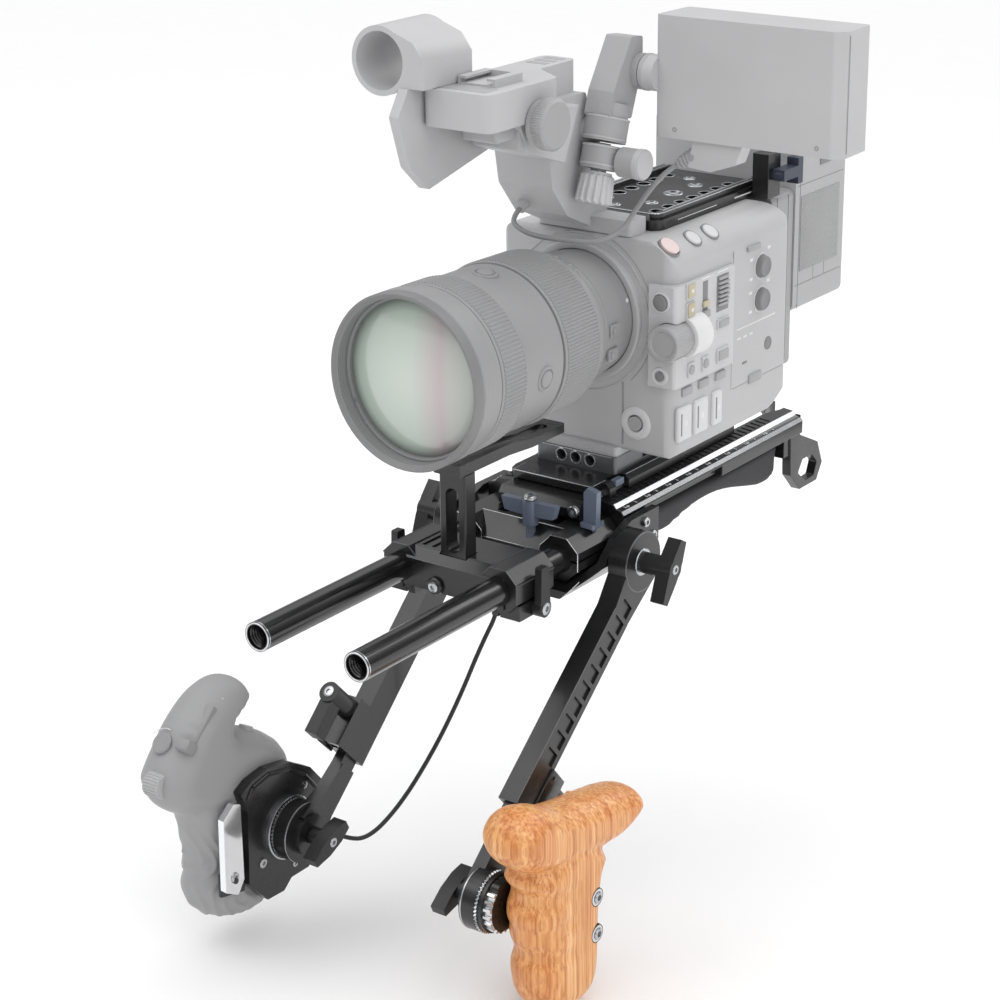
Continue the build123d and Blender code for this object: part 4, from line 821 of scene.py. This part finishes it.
def body_details():
    """Seams, buttons, dials, keys and printed marks of the casing and its side panel."""
    seams, caps, dark, marks, keys, tans = (bmesh.new() for _ in range(6))
    for x in (26.0, 26.6):
        line(seams, (x, BODY_FRONT - 0.1, 42), (x, BODY_FRONT - 0.1, 76), 0.16)
    polyline(seams, [round_the_lens(BODY_FRONT - 0.1, 44.6, a)[0] for a in angles(-46, 8, 14)], 0.16)
    seam_x = BODY_LEFT + 0.02
    line(seams, (seam_x, 281.4, 62), (seam_x, 281.4, 137), 0.16)
    line(seams, (seam_x, 283, 62), (seam_x, 335, 62), 0.16)
    piece(seams, "body_seams", "grey_146", "camera")

    tilt = Vector((math.cos(math.radians(55)), 0, math.sin(math.radians(55))))
    for y, radius in ((232.7, 5.4), (255.0, 4.6), (271.6, 4.6)):
        spot = (48.4, y, 148.4)
        ring(dark, spot, tilt,
             [(-0.5, radius + 0.1), (0.35, radius + 0.2), (0.4, radius + 0.8), (-0.5, radius + 1.0)], 40)
        if y > 240:
            turn(caps, spot, tilt, [(-0.6, 0), (-0.6, radius), (0.5, radius), (0.9, radius - 0.5),
                                    (0.8, radius - 1.4), (0.65, 0)], 40)
    ring(caps, (34.4, BODY_FRONT, 55), (0, -1, 0),
         [(-0.4, 4.5), (0.7, 4.6), (1.0, 5.2), (0.9, 8.0), (0.5, 8.8), (-0.4, 9.0)], 56)
    for y, z in ((310.0, 122.9), (310.0, 105.0)):
        ring(caps, (BODY_LEFT, y, z), (1, 0, 0),
             [(-0.4, 7.2), (0.4, 7.2), (0.5, 6.8), (0.2, 6.2), (-0.3, 6.2)], 48)
        turn(dark, (BODY_LEFT, y, z), (1, 0, 0),
             [(-0.4, 0), (-0.4, 5.9), (2.4, 5.7, flutes(28, 0.02)), (3.2, 5.2, flutes(28, 0.02)),
              (3.4, 4.4), (3.0, 3.4), (3.2, 0)], 112)
        for dy, dz in ((-10.4, 5.4), (-10.4, -5.0), (7.5, 8.6)):
            brick(marks, BODY_LEFT - 0.1, BODY_LEFT + 0.12, y + dy - 1.5, y + dy + 1.5, z + dz - 0.8,
                  z + dz + 0.8, 0.05)
    turn(dark, (BODY_LEFT, 319, 78.4), (1, 0, 0),
         [(-0.3, 3.6), (0.3, 3.6), (0.45, 3.0), (0.2, 2.6), (0.5, 0)], 36)
    brick(dark, BODY_LEFT - 0.4, BODY_LEFT + 0.3, 292.6, 297.4, 72.9, 74.1, 0.3)
    brick(keys, BODY_LEFT - 0.5, BODY_LEFT + 1.0, 295, 308, 133.4, 136.2, 0.5)
    brick(marks, BODY_LEFT - 0.1, BODY_LEFT + 0.1, 286, 326, 93.0, 93.7, 0.05)
    for y in (287, 293, 299):
        brick(marks, BODY_LEFT - 0.1, BODY_LEFT + 0.1, y, y + 3.6, 87.6, 88.6, 0.05)

    for z in (117.3, 127.2):
        brick(tans, PANEL_OUTER + 0.5, PANEL_OUTER + 1.7, 232.0, 238.4, z - 3.4, z + 3.4, 0.7)
        brick(marks, PANEL_OUTER + 1.6, PANEL_OUTER + 1.8, 234.2, 236.4, z - 0.9, z + 0.9, 0.05)
    brick(dark, PANEL_OUTER - 0.3, PANEL_OUTER + 0.1, 247.4, 252.4, 112.2, 129.0, 0.3)
    brick(keys, PANEL_OUTER, PANEL_OUTER + 2.0, 246.8, 252.8, 109.8, 113.6, 0.6)
    brick(tans, PANEL_OUTER, PANEL_OUTER + 1.4, 247.2, 253.0, 115.4, 118.6, 0.5)
    brick(dark, PANEL_OUTER - 0.3, PANEL_OUTER + 0.2, 261.0, 272.6, 109.4, 128.6, 0.4)
    for step in range(7):
        brick(keys, PANEL_OUTER, PANEL_OUTER + 2.2 - abs(step - 3) * 0.25, 262.0, 271.6, 112.4 + step * 2.3,
              113.9 + step * 2.3, 0.5)
    for y, z in ((237, 73.3), (253, 73.4), (269.5, 73.3)):
        brick(keys, BODY_LEFT - 0.6, BODY_LEFT + 1.3, y - 4.8, y + 4.8, z - 2.3, z + 2.3, 0.7)
    for y, z in ((236.4, 85.3), (250.2, 85.3)):
        turn(keys, (PANEL_OUTER + 0.8, y, z), (1, 0, 0), [(0, 2.6), (0.7, 2.5), (1.0, 1.9), (0.9, 0)], 28)
    for z0, z1 in ((83.2, 88.4), (100.8, 104.8)):
        brick(keys, PANEL_OUTER + 0.6, PANEL_OUTER + 1.7, 262.6, 272, z0, z1, 0.6)
    brick(keys, BODY_LEFT - 0.7, BODY_LEFT + 1.1, 299, 312, 60.4, 65.4, 0.7)
    for y, w in ((234, 13), (250, 13), (266, 9)):
        brick(caps, BODY_LEFT - 1.2, BODY_LEFT + 1.9, y - w / 2, y + w / 2, 47.5, 66.0, 1.4, segments=3)
        brick(dark, BODY_LEFT + 1.5, BODY_LEFT + 2.1, y - w / 2 + 2, y - w / 2 + 3.2, 51, 63, 0.3)
        brick(marks, BODY_LEFT + 1.7, BODY_LEFT + 2.0, y - 1, y + 1.6, 55.4, 58.4, 0.05)
    for y0, y1, z in ((231, 239, 132.0), (246, 254, 131.8), (262, 272, 131.8)):
        brick(marks, PANEL_OUTER - 0.05, PANEL_OUTER + 0.08, y0, y1, z - 1.6, z - 1.0, 0.03)
    turn(dark, (50.8, PANEL_FRONT, 122.7), (0, -1, 0), [(0, 4.0), (1.3, 3.9), (1.7, 3.2), (1.6, 0)], 40)
    ring(caps, (50.8, PANEL_FRONT, 122.7), (0, -1, 0), [(-0.1, 4.3), (0.5, 4.5), (0.5, 5.2), (-0.1, 5.4)], 40)
    turn(dark, (50.8, PANEL_FRONT, 84.0), (0, -1, 0), [(0, 2.5), (0.8, 2.4), (1.0, 1.9), (0.9, 0)], 32)
    ring(caps, (50.8, PANEL_FRONT, 84.0), (0, -1, 0), [(-0.1, 2.9), (0.5, 3.1), (0.6, 4.4), (-0.1, 4.7)], 36)
    piece(caps, "body_button_rims", "grey_214", "camera")
    piece(dark, "body_dark_controls", "grey_132", "camera")
    piece(keys, "body_keys", "grey_166", "camera")
    piece(tans, "body_tan_keys", "tan", "camera")
    piece(marks, "body_printed_marks", "print", "camera")


def filter_dial():
    """The ribbed filter dial, and the pale housing behind it."""
    housing = bmesh.new()
    turn(housing, Vector(DIAL_CENTRE) + Vector((0, 16.8, 0)), (0, 1, 0),
         [(0, 9.95), (0, 11.0), (0.5, 11.4), (14.2, 11.4), (15.2, 10.6), (15.4, 0)], 64)
    piece(housing, "dial_housing_cover", "print", "camera")
    dial, ribs = bmesh.new(), flutes(44, 0.012, 2.0)
    turn(dial, DIAL_CENTRE, (0, 1, 0),
         [(0.7, 0), (0.7, 6.6), (0.2, 7.0), (0.0, 8.6), (0.6, 9.3), (1.6, 9.45, ribs), (12.8, 9.45, ribs),
          (13.2, 9.0), (16.4, 9.0), (16.4, 3.0), (26.0, 3.0), (26.0, 0)], 176)
    piece(dial, "filter_dial", "grey_166", "side_dial", ["side_dial"], 30)


def far_side_details():
    """Connector covers, sockets and vents on the casing's right side and on the rear housing."""
    rear = bmesh.new()
    for x in (-30, -18, 18, 30):
        turn(rear, (x, REAR_FACE, 62), (0, 1, 0),
             [(-0.5, 4.6), (0.6, 4.6), (1.0, 4.0), (0.4, 3.4), (0.4, 0)], 32)
    for x in (-36, 36):
        brick(rear, x - 5, x + 5, REAR_FACE - 0.6, REAR_FACE + 0.8, 70, 79, 0.6)
    for z in (60, 76, 92, 108, 124):
        for y in (262, 290):
            brick(rear, BODY_RIGHT - 0.9, BODY_RIGHT + 0.5, y, y + 20, z - 5, z + 5, 1.0)
    piece(rear, "side_connector_covers", "grey_156", "camera")
    vents = bmesh.new()
    for step in range(12):
        brick(vents, BODY_RIGHT - 0.5, BODY_RIGHT + 0.5, 318, 336, 62 + step * 6, 65 + step * 6, 0.5)
    piece(vents, "side_vents", "grey_132", "camera")


def battery_details():
    """Perforated panels, seams and charge lights of the battery, and lines on its housing."""
    low, high = work_box("battery")
    panels = bmesh.new()
    for x0, x1 in ((high.x - 0.3, high.x + 0.45), (low.x - 0.45, low.x + 0.3)):
        brick(panels, x0, x1, 372, 415, 104, 146, 0.4)
    piece(panels, "battery_perforated_panels", "battery_mesh", "battery")
    seams = bmesh.new()
    for side, x in ((1, high.x + 0.02), (-1, low.x - 0.02)):
        for z in (96.5, 152.5, 172):
            line(seams, (x, 368, z), (x, 419, z), 0.18)
        for y in (388, 400):
            line(seams, (x, y, 97), (x, y, 104), 0.16)
        line(seams, (x, 371, 83), (x, 371, 184), 0.18)
        brick(seams, x - side * 0.3, x + side * 0.5, 392, 404, 160, 168, 0.4)
    for index in range(4):
        brick(seams, -12 + index * 6.5, -8 + index * 6.5, 420.8, 421.5, 150, 154, 0.4)
    for z in (120, 160):
        line(seams, (-40, high.y + 0.05, z), (40, high.y + 0.05, z), 0.18)
    piece(seams, "battery_seams", "grey_132", "battery")
    housing = bmesh.new()
    for x in (44.05, -44.05):
        for y in (348, 360):
            line(housing, (x, y, 56), (x, y, 150), 0.2)
    piece(housing, "battery_housing_lines", "grey_132", "camera")


def handle_details():
    """Knurled knob, top inlays and the lower block of the handle."""
    knob, ribs = bmesh.new(), flutes(70, 0.016, 1.6)
    turn(knob, (20.2, KNOB_Y, KNOB_Z), (1, 0, 0),
         [(0.3, 0), (0.3, 11.2), (3.2, 11.2), (3.4, 10.6), (3.8, 10.6), (4.0, 12.2, ribs),
          (4.4, 12.5, ribs), (9.2, 12.5, ribs), (9.8, 12.1, ribs), (10.3, 11.6), (10.8, 11.0), (10.6, 10.2),
          (10.4, 0)], 280)
    turn(knob, (12.5, KNOB_Y, KNOB_Z), (1, 0, 0), [(0, 0), (0, 2.9), (8.2, 2.9), (8.2, 0)], 32)
    piece(knob, "knurled_handle_knob", "grey_166", "handle_knob", ["handle_knob"], 40)
    trims = bmesh.new()
    brick(trims, -14.5, 14.5, 125.5, 136.5, 239.3, 240.25, 0.4)
    for y in (200, 207, 214):
        brick(trims, -16, -4, y, y + 4.2, 239.5, 240.3, 0.5)
    piece(trims, "handle_top_inlay", "grey_166", "camera")
    lower = bmesh.new()
    brick(lower, -14, 14.6, 152, 186, 207.5, 221.8, 1.6, segments=3)
    brick(lower, -10, 12, 138, 158, 213, 221.9, 2.2, segments=3)
    screw(lower, (14.6, 181, 214), (1, 0, 0), 2.0, 0.9)
    turn(lower, (5.0, 224, 205), (1, 0, 0), [(-4, 0), (-4, 7.0), (5.5, 7.0), (6.2, 6.2), (6.2, 0)], 40)
    piece(lower, "handle_lower_block", "grey_176", "camera")


def monitor_details():
    """Screen, keys, cable relief, fluted post knob and the rings of the monitor's joints."""
    screen = bmesh.new()
    brick(screen, 42.5, 131.5, 266.7, 267.4, 209.5, 255.5, 0.3)
    piece(screen, "monitor_screen", "screen", "monitor")
    bezel = bmesh.new()
    line(bezel, (139.2, 245.6, 204), (139.2, 245.6, 260.5), 0.2)
    for index in range(5):
        brick(bezel, 60 + index * 12, 67 + index * 12, 267.4, 268.7, 203.6, 206.0, 0.5)
    for x in (46, 126):
        screw(bezel, (x, 240.1, 206.5), (0, -1, 0), 1.3, 0.25)
    piece(bezel, "monitor_keys", "grey_156", "monitor")
    relief = bmesh.new()
    start, end = Vector((55.5, 246.5, 193.6)), Vector((45.2, 243.8, 188.2))
    reach = end - start
    ribs = [(reach.length * share / 10, radius) for share, radius in
            ((0, 0), (0, 4.6), (2, 4.6), (3, 4.0), (3.6, 4.3), (4.6, 3.6), (5.2, 3.9), (6.4, 3.1), (7.0, 3.4),
             (8.4, 2.5), (9.0, 2.7), (10, 1.9), (10, 0))]
    turn(relief, start, reach, ribs, 32)
    piece(relief, "cable_strain_relief", "grey_156", "monitor")
    lean = Vector((0, math.sin(math.radians(POST_LEAN)), math.cos(math.radians(POST_LEAN))))
    knob, ribs = bmesh.new(), flutes(15, 0.075, 1.8)
    turn(knob, POST_FOOT, lean, [(0.6, 0), (0.6, 7.6), (1.6, 8.8, ribs), (14.6, 8.0, ribs), (15.4, 7.2),
                                 (16.6, 7.0), (16.8, 3.9), (31, 3.9), (31, 0)], 240)
    piece(knob, "fluted_monitor_knob", "grey_200", "monitor_arm_knob", ["monitor_arm_knob"], 45)
    rings = bmesh.new()
    for height, radius in ((19.5, 10.3), (28.6, 10.3)):
        ring(rings, POST_FOOT, lean, [(height, radius - 0.5), (height + 0.2, radius),
                                      (height + 1.0, radius), (height + 1.2, radius - 0.5)], 64)
    turn(rings, (41, 221, 191.5), (1, 0, 0),
         [(-3.5, 7.4), (-3.3, 7.8), (-0.6, 7.8), (0.5, 6.9), (0.7, 6.0), (0.3, 0)], 48)
    piece(rings, "monitor_socket_rings", "grey_188", "camera")
    collar = bmesh.new()
    for height, radius in ((33.0, 11.2), (43.0, 11.2)):
        ring(collar, POST_FOOT, lean, [(height, radius - 0.5), (height + 0.2, radius),
                                       (height + 0.9, radius), (height + 1.1, radius - 0.5)], 64)
    piece(collar, "monitor_collar_rings", "grey_188", "monitor_link")
    disc = bmesh.new()
    turn(disc, (27.3, 243, 233), (1, 0, 0),
         [(0.1, 0), (0.1, 8.9), (0.5, 9.3), (2.6, 9.3), (3.0, 8.9), (7.0, 8.9)], 56)
    piece(disc, "monitor_pivot_rim", "grey_176", "monitor")


# ---- arms and grips -----------------------------------------------------------------------------
# Each side: sign of X, angle below level, lower hub's offset, and the side of the tube its lever is on.
ARMS = {"left": (1, 40.0, -14.5, -1), "right": (-1, 43.3, -1.5, 1)}


def along_arm(side, u, v, x):
    """A work-frame point from distances down the arm, above it and out from the middle plane."""
    sign, angle, _, _ = ARMS[side]
    a = math.radians(angle)
    down, forward = math.sin(a), math.cos(a)
    return Vector((sign * x, HUB_Y - u * forward - v * down, HUB_Z - u * down + v * forward))


def arm_details(side):
    """Painted highlight lines along the edges, clamp plate, screws and rosette teeth of one arm."""
    sign, angle, hub_v, away = ARMS[side]
    up = along_arm(side, 0, 1, 0) - along_arm(side, 0, 0, 0)
    hub = along_arm(side, LOWER_HUB_U, hub_v, 0)
    # Painted highlight lines along the arm's edges and round its hub.
    edges = bmesh.new()
    line(edges, along_arm(side, 30, 3.3, ARM_OUTER - 0.1), along_arm(side, 142.6, 3.3, ARM_OUTER - 0.1), 0.25)
    line(edges, along_arm(side, 30, -13.5, ARM_OUTER - 0.1), along_arm(side, 142.6, -13.5, ARM_OUTER - 0.1),
         0.25)
    line(edges, along_arm(side, 142.9, -13.3, 60.7), along_arm(side, 142.9, 3.1, 60.7), 0.2)
    ring(edges, (sign * (ARM_OUTER - 0.1), HUB_Y, HUB_Z), (sign, 0, 0),
         [(0, 15.2), (0.2, 15.4), (0.2, 15.9), (-0.2, 16.1)], 72)
    piece(edges, f"arm_{side}_painted_highlight_edges", "plate", f"arm_{side}")
    washers = bmesh.new()
    ring(washers, (sign * ARM_OUTER, HUB_Y, HUB_Z), (sign, 0, 0),
         [(0, 4.4), (0.35, 4.6), (0.35, 6.8), (0, 7.2)], 48)
    piece(washers, f"arm_{side}_washer", "steel", f"arm_{side}")

    face = TUBE_TOP if away > 0 else TUBE_BOTTOM
    clamp = bmesh.new()
    down_arm = along_arm(side, 1, 0, 0) - along_arm(side, 0, 0, 0)
    rotation = Matrix((down_arm, up, Vector((1, 0, 0)))).transposed()
    middle = along_arm(side, 130, face + away * 5, ARM_OUTER + 0.4)
    brick(clamp, middle.x - 14.5, middle.x + 14.5, middle.y - 7.2, middle.y + 7.2, middle.z - 0.9,
          middle.z + 0.9, 0.8, rotation)
    for u in (119, 141):
        screw(clamp, along_arm(side, u, face + away * 5 + 3.6, ARM_OUTER + 1.2), (sign, 0, 0), 1.2, 0.5)
    piece(clamp, f"arm_{side}_clamp_plate", "black", f"arm_{side}")
    bolt = bmesh.new()
    screw(bolt, along_arm(side, LEVER_U, face + away * 29.6, CLAMP_OUT), up * away, 3.0, 1.0)
    piece(bolt, f"arm_{side}_lever_screw", "steel", f"arm_{side}_lever")
    threads = bmesh.new()
    for index in range(6):
        spot = along_arm(side, LEVER_U, face + away * (10.7 + index * 0.55), CLAMP_OUT)
        ring(threads, spot, up * away, [(0, 5.3), (0.25, 5.8), (0.45, 5.3)], 32)
    piece(threads, f"arm_{side}_lever_collar", "black_soft", f"arm_{side}_lever")

    teeth = bmesh.new()
    ring(teeth, (sign * (DISC_FACE + 0.05), hub.y, hub.z), (sign, 0, 0),
         [(-1.1, 14.4), (-1.1, 15.7, flutes(48, 0.02, 3)), (0.25, 15.7, flutes(48, 0.02, 3)), (0.25, 14.4)],
         288)
    ring(teeth, (sign * 54, hub.y, hub.z), (sign, 0, 0),
         [(0.4, 15.8), (0.6, 16.15), (1.2, 16.15), (1.4, 15.8)], 72)
    piece(teeth, f"arm_{side}_rosette_teeth", "steel", f"arm_{side}_inner")
    for knob, centre, outward, reach in (
            (f"arm_{side}_knob", Vector((sign * ARM_OUTER, HUB_Y, HUB_Z)), sign, 19.4),
            (f"grip_{side}_knob", Vector((sign * 50, hub.y, hub.z)), -sign, 13.9)):
        head = bmesh.new()
        screw(head, centre + Vector((outward * (reach - 1.0), 0, 0)), (outward, 0, 0), 2.6, 1.3)
        piece(head, f"{knob}_screw", "steel", knob)


def finger_grooves(spot, normal):
    """Three grooves pressed into the wooden grip's front, fading out along its sides."""
    fade = min(1.0, max(0.0, (78 - spot.y) / 26)) * min(1.0, max(0.0, (-116 - spot.z) / 3))
    press = sum(math.exp(-((spot.z - z) / 5.2) ** 2) for z in (-124.5, -140.5, -157.0))
    return -1.7 * fade * press


def wood_grip():
    """Carved hardwood handle: front bulb, finger grooves and a horn that runs up and back."""
    handle = [(45, -112), (47.5, -122), (46.5, -130), (44.5, -138), (47, -146), (49.5, -155), (48.5, -163),
              (49.5, -172), (53, -183), (62, -190.5), (75, -193), (88, -189.5), (94.5, -180), (96.5, -165),
              (97, -145), (99.5, -129), (104, -119), (90, -104), (66, -98)]
    horn = [(29.5, -92), (33, -98.5), (41, -105), (50, -109.5), (70, -113), (92, -116), (112, -117.5),
            (126, -114.5), (135, -109), (136, -101.5), (130, -96), (118, -92.5), (100, -89), (84, -86.5),
            (68, -82.5), (57, -77.5), (47, -74), (38.5, -75), (32, -79.5), (29, -86)]
    mesh = carved([(handle, GRIP_INNER, GRIP_OUTER, 12.5), (horn, GRIP_INNER, GRIP_OUTER, 11.0)], 1.2, 3,
                  finger_grooves)
    piece(mesh, "carved_wood_grip", "wood", "grip_left", ["wood_grip"], 60)
    rings, heads, sockets = bmesh.new(), bmesh.new(), bmesh.new()
    for z in SCREW_Z:
        turn(rings, (103.0, SCREW_Y, z), (1, 0, 0),
             [(0, 0), (0, 4.4), (0.9, 4.4), (1.1, 4.1), (1.1, 3.1), (0.6, 3.0)], 48)
        screw(heads, (103.4, SCREW_Y, z), (1, 0, 0), 2.9, 1.6, 0.6)
        # Dark rings inside the screw bores: painted shadow.
        ring(sockets, (102.6, SCREW_Y, z), (1, 0, 0), [(0, 4.4), (1.25, 4.45), (1.3, 4.8), (0, 5.0)], 48)
    piece(heads, "wood_grip_screw_heads", "steel", "grip_left", ["wood_grip_screws"])
    piece(rings, "wood_grip_washers", "bright", "grip_left")
    piece(sockets, "wood_grip_bore_shadows", "socket", "grip_left")
    hub = along_arm("left", LOWER_HUB_U, ARMS["left"][2], 0)
    spring = bmesh.new()
    ring(spring, (66.6, hub.y, hub.z), (1, 0, 0), [(0, 12.7), (0.2, 13.3, flutes(22, 0.05, 3)),
                                                   (4.6, 13.3, flutes(22, 0.05, 3)), (4.9, 12.7)], 264)
    piece(spring, "wood_grip_spring_collar", "bright", "grip_left")


def grip_relief(spot, normal):
    """Long wavy ridges on the electronic grip's handle and a ribbed thumb rest."""
    if spot.z < -118:
        wave = math.sin((spot.z + 0.35 * spot.y) * 0.16 + 1.3 * math.sin(spot.y * 0.11)) * 5
        ridge = math.sin((spot.y + 0.4 * spot.x + wave) * 1.0)
        fade = min(1.0, (-118 - spot.z) / 8) * min(1.0, (spot.z + 181) / 8)
        return 0.95 * max(0.0, ridge - 0.1) * max(0.0, fade)
    if spot.z > -80 and spot.y > 27 and normal.y * 0.6 - normal.z > 0.2:
        return 0.35 * max(0.0, math.sin(spot.y * 1.5 + spot.x * 0.3))
    return 0.0


def smart_grip():
    """Moulded electronic grip with its hood, controls, dial and mounting screws."""
    hood = [(-15.5, -91), (-14.5, -86), (-10.5, -80), (-5, -73.5), (3.5, -64), (14, -56), (24, -51),
            (35, -49), (42, -50.5), (46.5, -56), (45, -63), (39.5, -67.5), (34, -71.5), (36, -77.5),
            (50, -82), (63, -90), (72, -101), (71, -111), (62, -118.5), (48, -122), (32, -121),
            (16, -116.5), (-3, -108.5), (-12, -101)]
    handle = [(1, -104), (3, -117), (6.5, -130), (7, -148), (5, -158), (8.5, -168), (20, -176.5), (35, -181),
              (46, -180), (51, -171), (50.5, -150), (50, -130), (53, -112), (30, -100)]
    mesh = carved([(hood, -72.4, -106, 12.0), (handle, -73.0, -103, 13.5)], 1.15, 3, grip_relief)
    piece(mesh, "moulded_smart_grip", "grey_156", "grip_right", ["smart_grip"], 60)
    controls, marks = bmesh.new(), bmesh.new()
    slope = Vector((-0.05, -0.72, 0.69)).normalized()
    button = Vector((-93, -3, -71.8))
    turn(controls, button, slope, [(-1.5, 5.6), (1.5, 5.6), (2.0, 4.8), (1.7, 0)], 40)
    slide = Matrix.Rotation(math.radians(44), 3, "X")
    brick(controls, -82.5, -76.5, 0.5, 22.5, -67.5, -61.5, 1.2, slide)
    brick(controls, -84, -75, -4.5, 1.5, -74.0, -66.0, 1.2, slide)
    turn(controls, (-75.4, 20, -72), (1, 0, 0), [(0, 3.2), (1.6, 3.0), (2.0, 2.2), (1.9, 0)], 32)
    for centre in (button, Vector((-79, 21, -60.5))):
        arc = [Vector((math.cos(a), -math.sin(a) * 0.69, -math.sin(a) * 0.72)) for a in angles(200, 14, 6)]
        polyline(marks, [centre + spoke * 7.6 + slope * 1.7 for spoke in arc], 0.22)
    piece(controls, "smart_grip_controls", "grey_146", "grip_right")
    piece(marks, "smart_grip_marks", "print", "grip_right")
    dial = bmesh.new()
    turn(dial, (-84, -12.5, -89), (-1, 0, 0), [(0, 0), (0, 5.8), (0.6, 6.5, flutes(26, 0.035, 2)),
                                               (9.4, 6.5, flutes(26, 0.035, 2)), (10, 5.8), (10, 0)], 208)
    piece(dial, "ribbed_thumb_dial", "grey_176", "smart_grip_dial", ["smart_grip_dial"], 40)
    hub = along_arm("right", LOWER_HUB_U, ARMS["right"][2], 0)
    drum = bmesh.new()
    ring(drum, (-64.5, hub.y, hub.z), (-1, 0, 0), [(0.0, 16.4), (0.3, 17.2), (2.4, 17.2), (2.6, 16.4)], 72)
    piece(drum, "smart_grip_ring", "steel", "grip_right")
    screws = bmesh.new()
    screw(screws, (-66.5, 35.5, -147), (1, 0, 0), 2.6, 0.9)
    screw(screws, (-67.0, 15, -146), (1, 0, 0), 2.6, 0.9)
    for y, z in ((70, -117), (60, -158)):
        screw(screws, (-66.5, y, z), (1, 0, 0), 2.0, 0.7)
    piece(screws, "smart_grip_screws", "steel", "grip_right")
    rib = bmesh.new()
    loop = [(27, -108), (31, -102.5), (43, -100), (58, -103), (70, -111), (79, -122)]
    polyline(rib, [(-66.3, y, z) for y, z in loop], 1.1)
    piece(rib, "smart_grip_plate_rib", "black", "grip_right")


def support_details():
    """Screws and painted highlight lines on the edges of the lens support's clamp, and the rod clamp knob's
    screw.
    """
    nub, lines, bright = bmesh.new(), bmesh.new(), bmesh.new()
    turn(nub, (-7.3, 108.2, -5.4), (0, -1, 0), [(-0.4, 4.6), (1.6, 4.6), (2.2, 4.0), (2.2, 0)], 40)
    piece(nub, "support_clamp_nub", "black", "lens_support")
    screw(bright, (-7.3, 106.0, -5.4), (0, -1, 0), 2.8, 1.0)
    piece(bright, "support_clamp_screw", "steel", "lens_support")
    # Painted highlight lines along the clamp's edges and on the upper edges of its collars, where light from
    # above falls.
    line(lines, (-27, 108.1, 6.0), (27, 108.1, 6.0), 0.25)
    line(lines, (-24, 114, 11.1), (-9.6, 114, 11.1), 0.22)
    line(lines, (9.6, 114, 11.1), (24, 114, 11.1), 0.22)
    for side in (1, -1):
        for (xa, za), (xb, zb) in collar_edges(side * ROD_OFFSET, COLLAR_RADIUS + 0.05):
            if min(za, zb) > COLLAR_EDGE:
                line(lines, (xa, 109.1, za), (xb, 109.1, zb), 0.28)
                line(lines, (xa, 109.4, za), (xa, 140.6, za), 0.2)
    piece(lines, "support_bright_edges", "plate", "lens_support")
    for side, sign in (("left", 1), ("right", -1)):
        head = bmesh.new()
        screw(head, (sign * 46.4, 126, -11.2), (sign, 0, 0), 3.4, 1.1)
        piece(head, f"support_lever_{side}_screw", "steel", f"support_lever_{side}")
    top = bmesh.new()
    turn(top, CLAMP_SCREW, (0, 0, 1), [(0, 3.0), (0.4, 3.4), (1.8, 3.4), (2.4, 3.0), (2.6, 2.6),
                                       (2.6, 1.5, hexagon), (0.6, 1.5, hexagon), (0.6, 0)], 36)
    piece(top, "rod_clamp_knob_ring", "steel", "rod_clamp_knob")


# ---- studio -------------------------------------------------------------------------------------
def studio():
    """A pale floor, an even overhead sky and three soft lights."""
    scene = bpy.context.scene
    scene.view_settings.view_transform = "Standard"
    low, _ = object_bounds()
    mesh = bmesh.new()
    bmesh.ops.create_grid(mesh, x_segments=8, y_segments=8, size=30.0)
    data = bpy.data.meshes.new("studio_floor")
    mesh.to_mesh(data)
    mesh.free()
    data.materials.append(surface("pale_floor", tone(250, 250, 250), 0.75, vary=0.004, strength=0.02))
    floor = bpy.data.objects.new("studio_floor", data)
    floor.location = (0, 0, low.z - 0.0005)
    scene.collection.objects.link(floor)
    floor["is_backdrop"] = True

    world = bpy.data.worlds.new("studio")
    world.use_nodes = True
    tree = world.node_tree
    direction = tree.nodes.new("ShaderNodeTexCoord").outputs["Generated"]
    parts = tree.nodes.new("ShaderNodeSeparateXYZ")
    tree.links.new(direction, parts.inputs["Vector"])
    sky = ramp(tree, parts.outputs["Z"], [(0.0, (0.17, 0.17, 0.175, 1)), (0.3, (0.22, 0.22, 0.225, 1)),
                                          (0.6, (0.68, 0.68, 0.685, 1)), (1.0, (1.0, 1.0, 1.0, 1))])
    tree.links.new(sky, tree.nodes["Background"].inputs["Color"])
    tree.nodes["Background"].inputs["Strength"].default_value = 1.5
    scene.world = world

    target = at(10, 190, 40)
    for name, place, size, power in (("key", (-700, -500, 1150), 0.9, 3.0),
                                     ("fill", (1300, -300, 700), 1.1, 3.5),
                                     ("rim", (300, 1300, 900), 0.8, 4.0)):
        light = bpy.data.lights.new(name, "AREA")
        light.shape, light.size, light.energy = "SQUARE", size, power
        holder = bpy.data.objects.new(name, light)
        holder.location = at(*place)
        holder.rotation_euler = (target - holder.location).to_track_quat("-Z", "Y").to_euler()
        scene.collection.objects.link(holder)


add_camera()
add_cable("grip_cord", GRIP_CABLE, 2.4, "base", "jacket", "grip_cable")
add_cable("monitor_cord", MONITOR_CABLE, 2.6, "camera", "grey_146", "monitor_cable")
finish_cad()
base_details()
pad()
rods()
top_plate_details()
lens()
body_details()
filter_dial()
far_side_details()
battery_details()
handle_details()
monitor_details()
for arm_side in ARMS:
    arm_details(arm_side)
wood_grip()
smart_grip()
support_details()
studio()
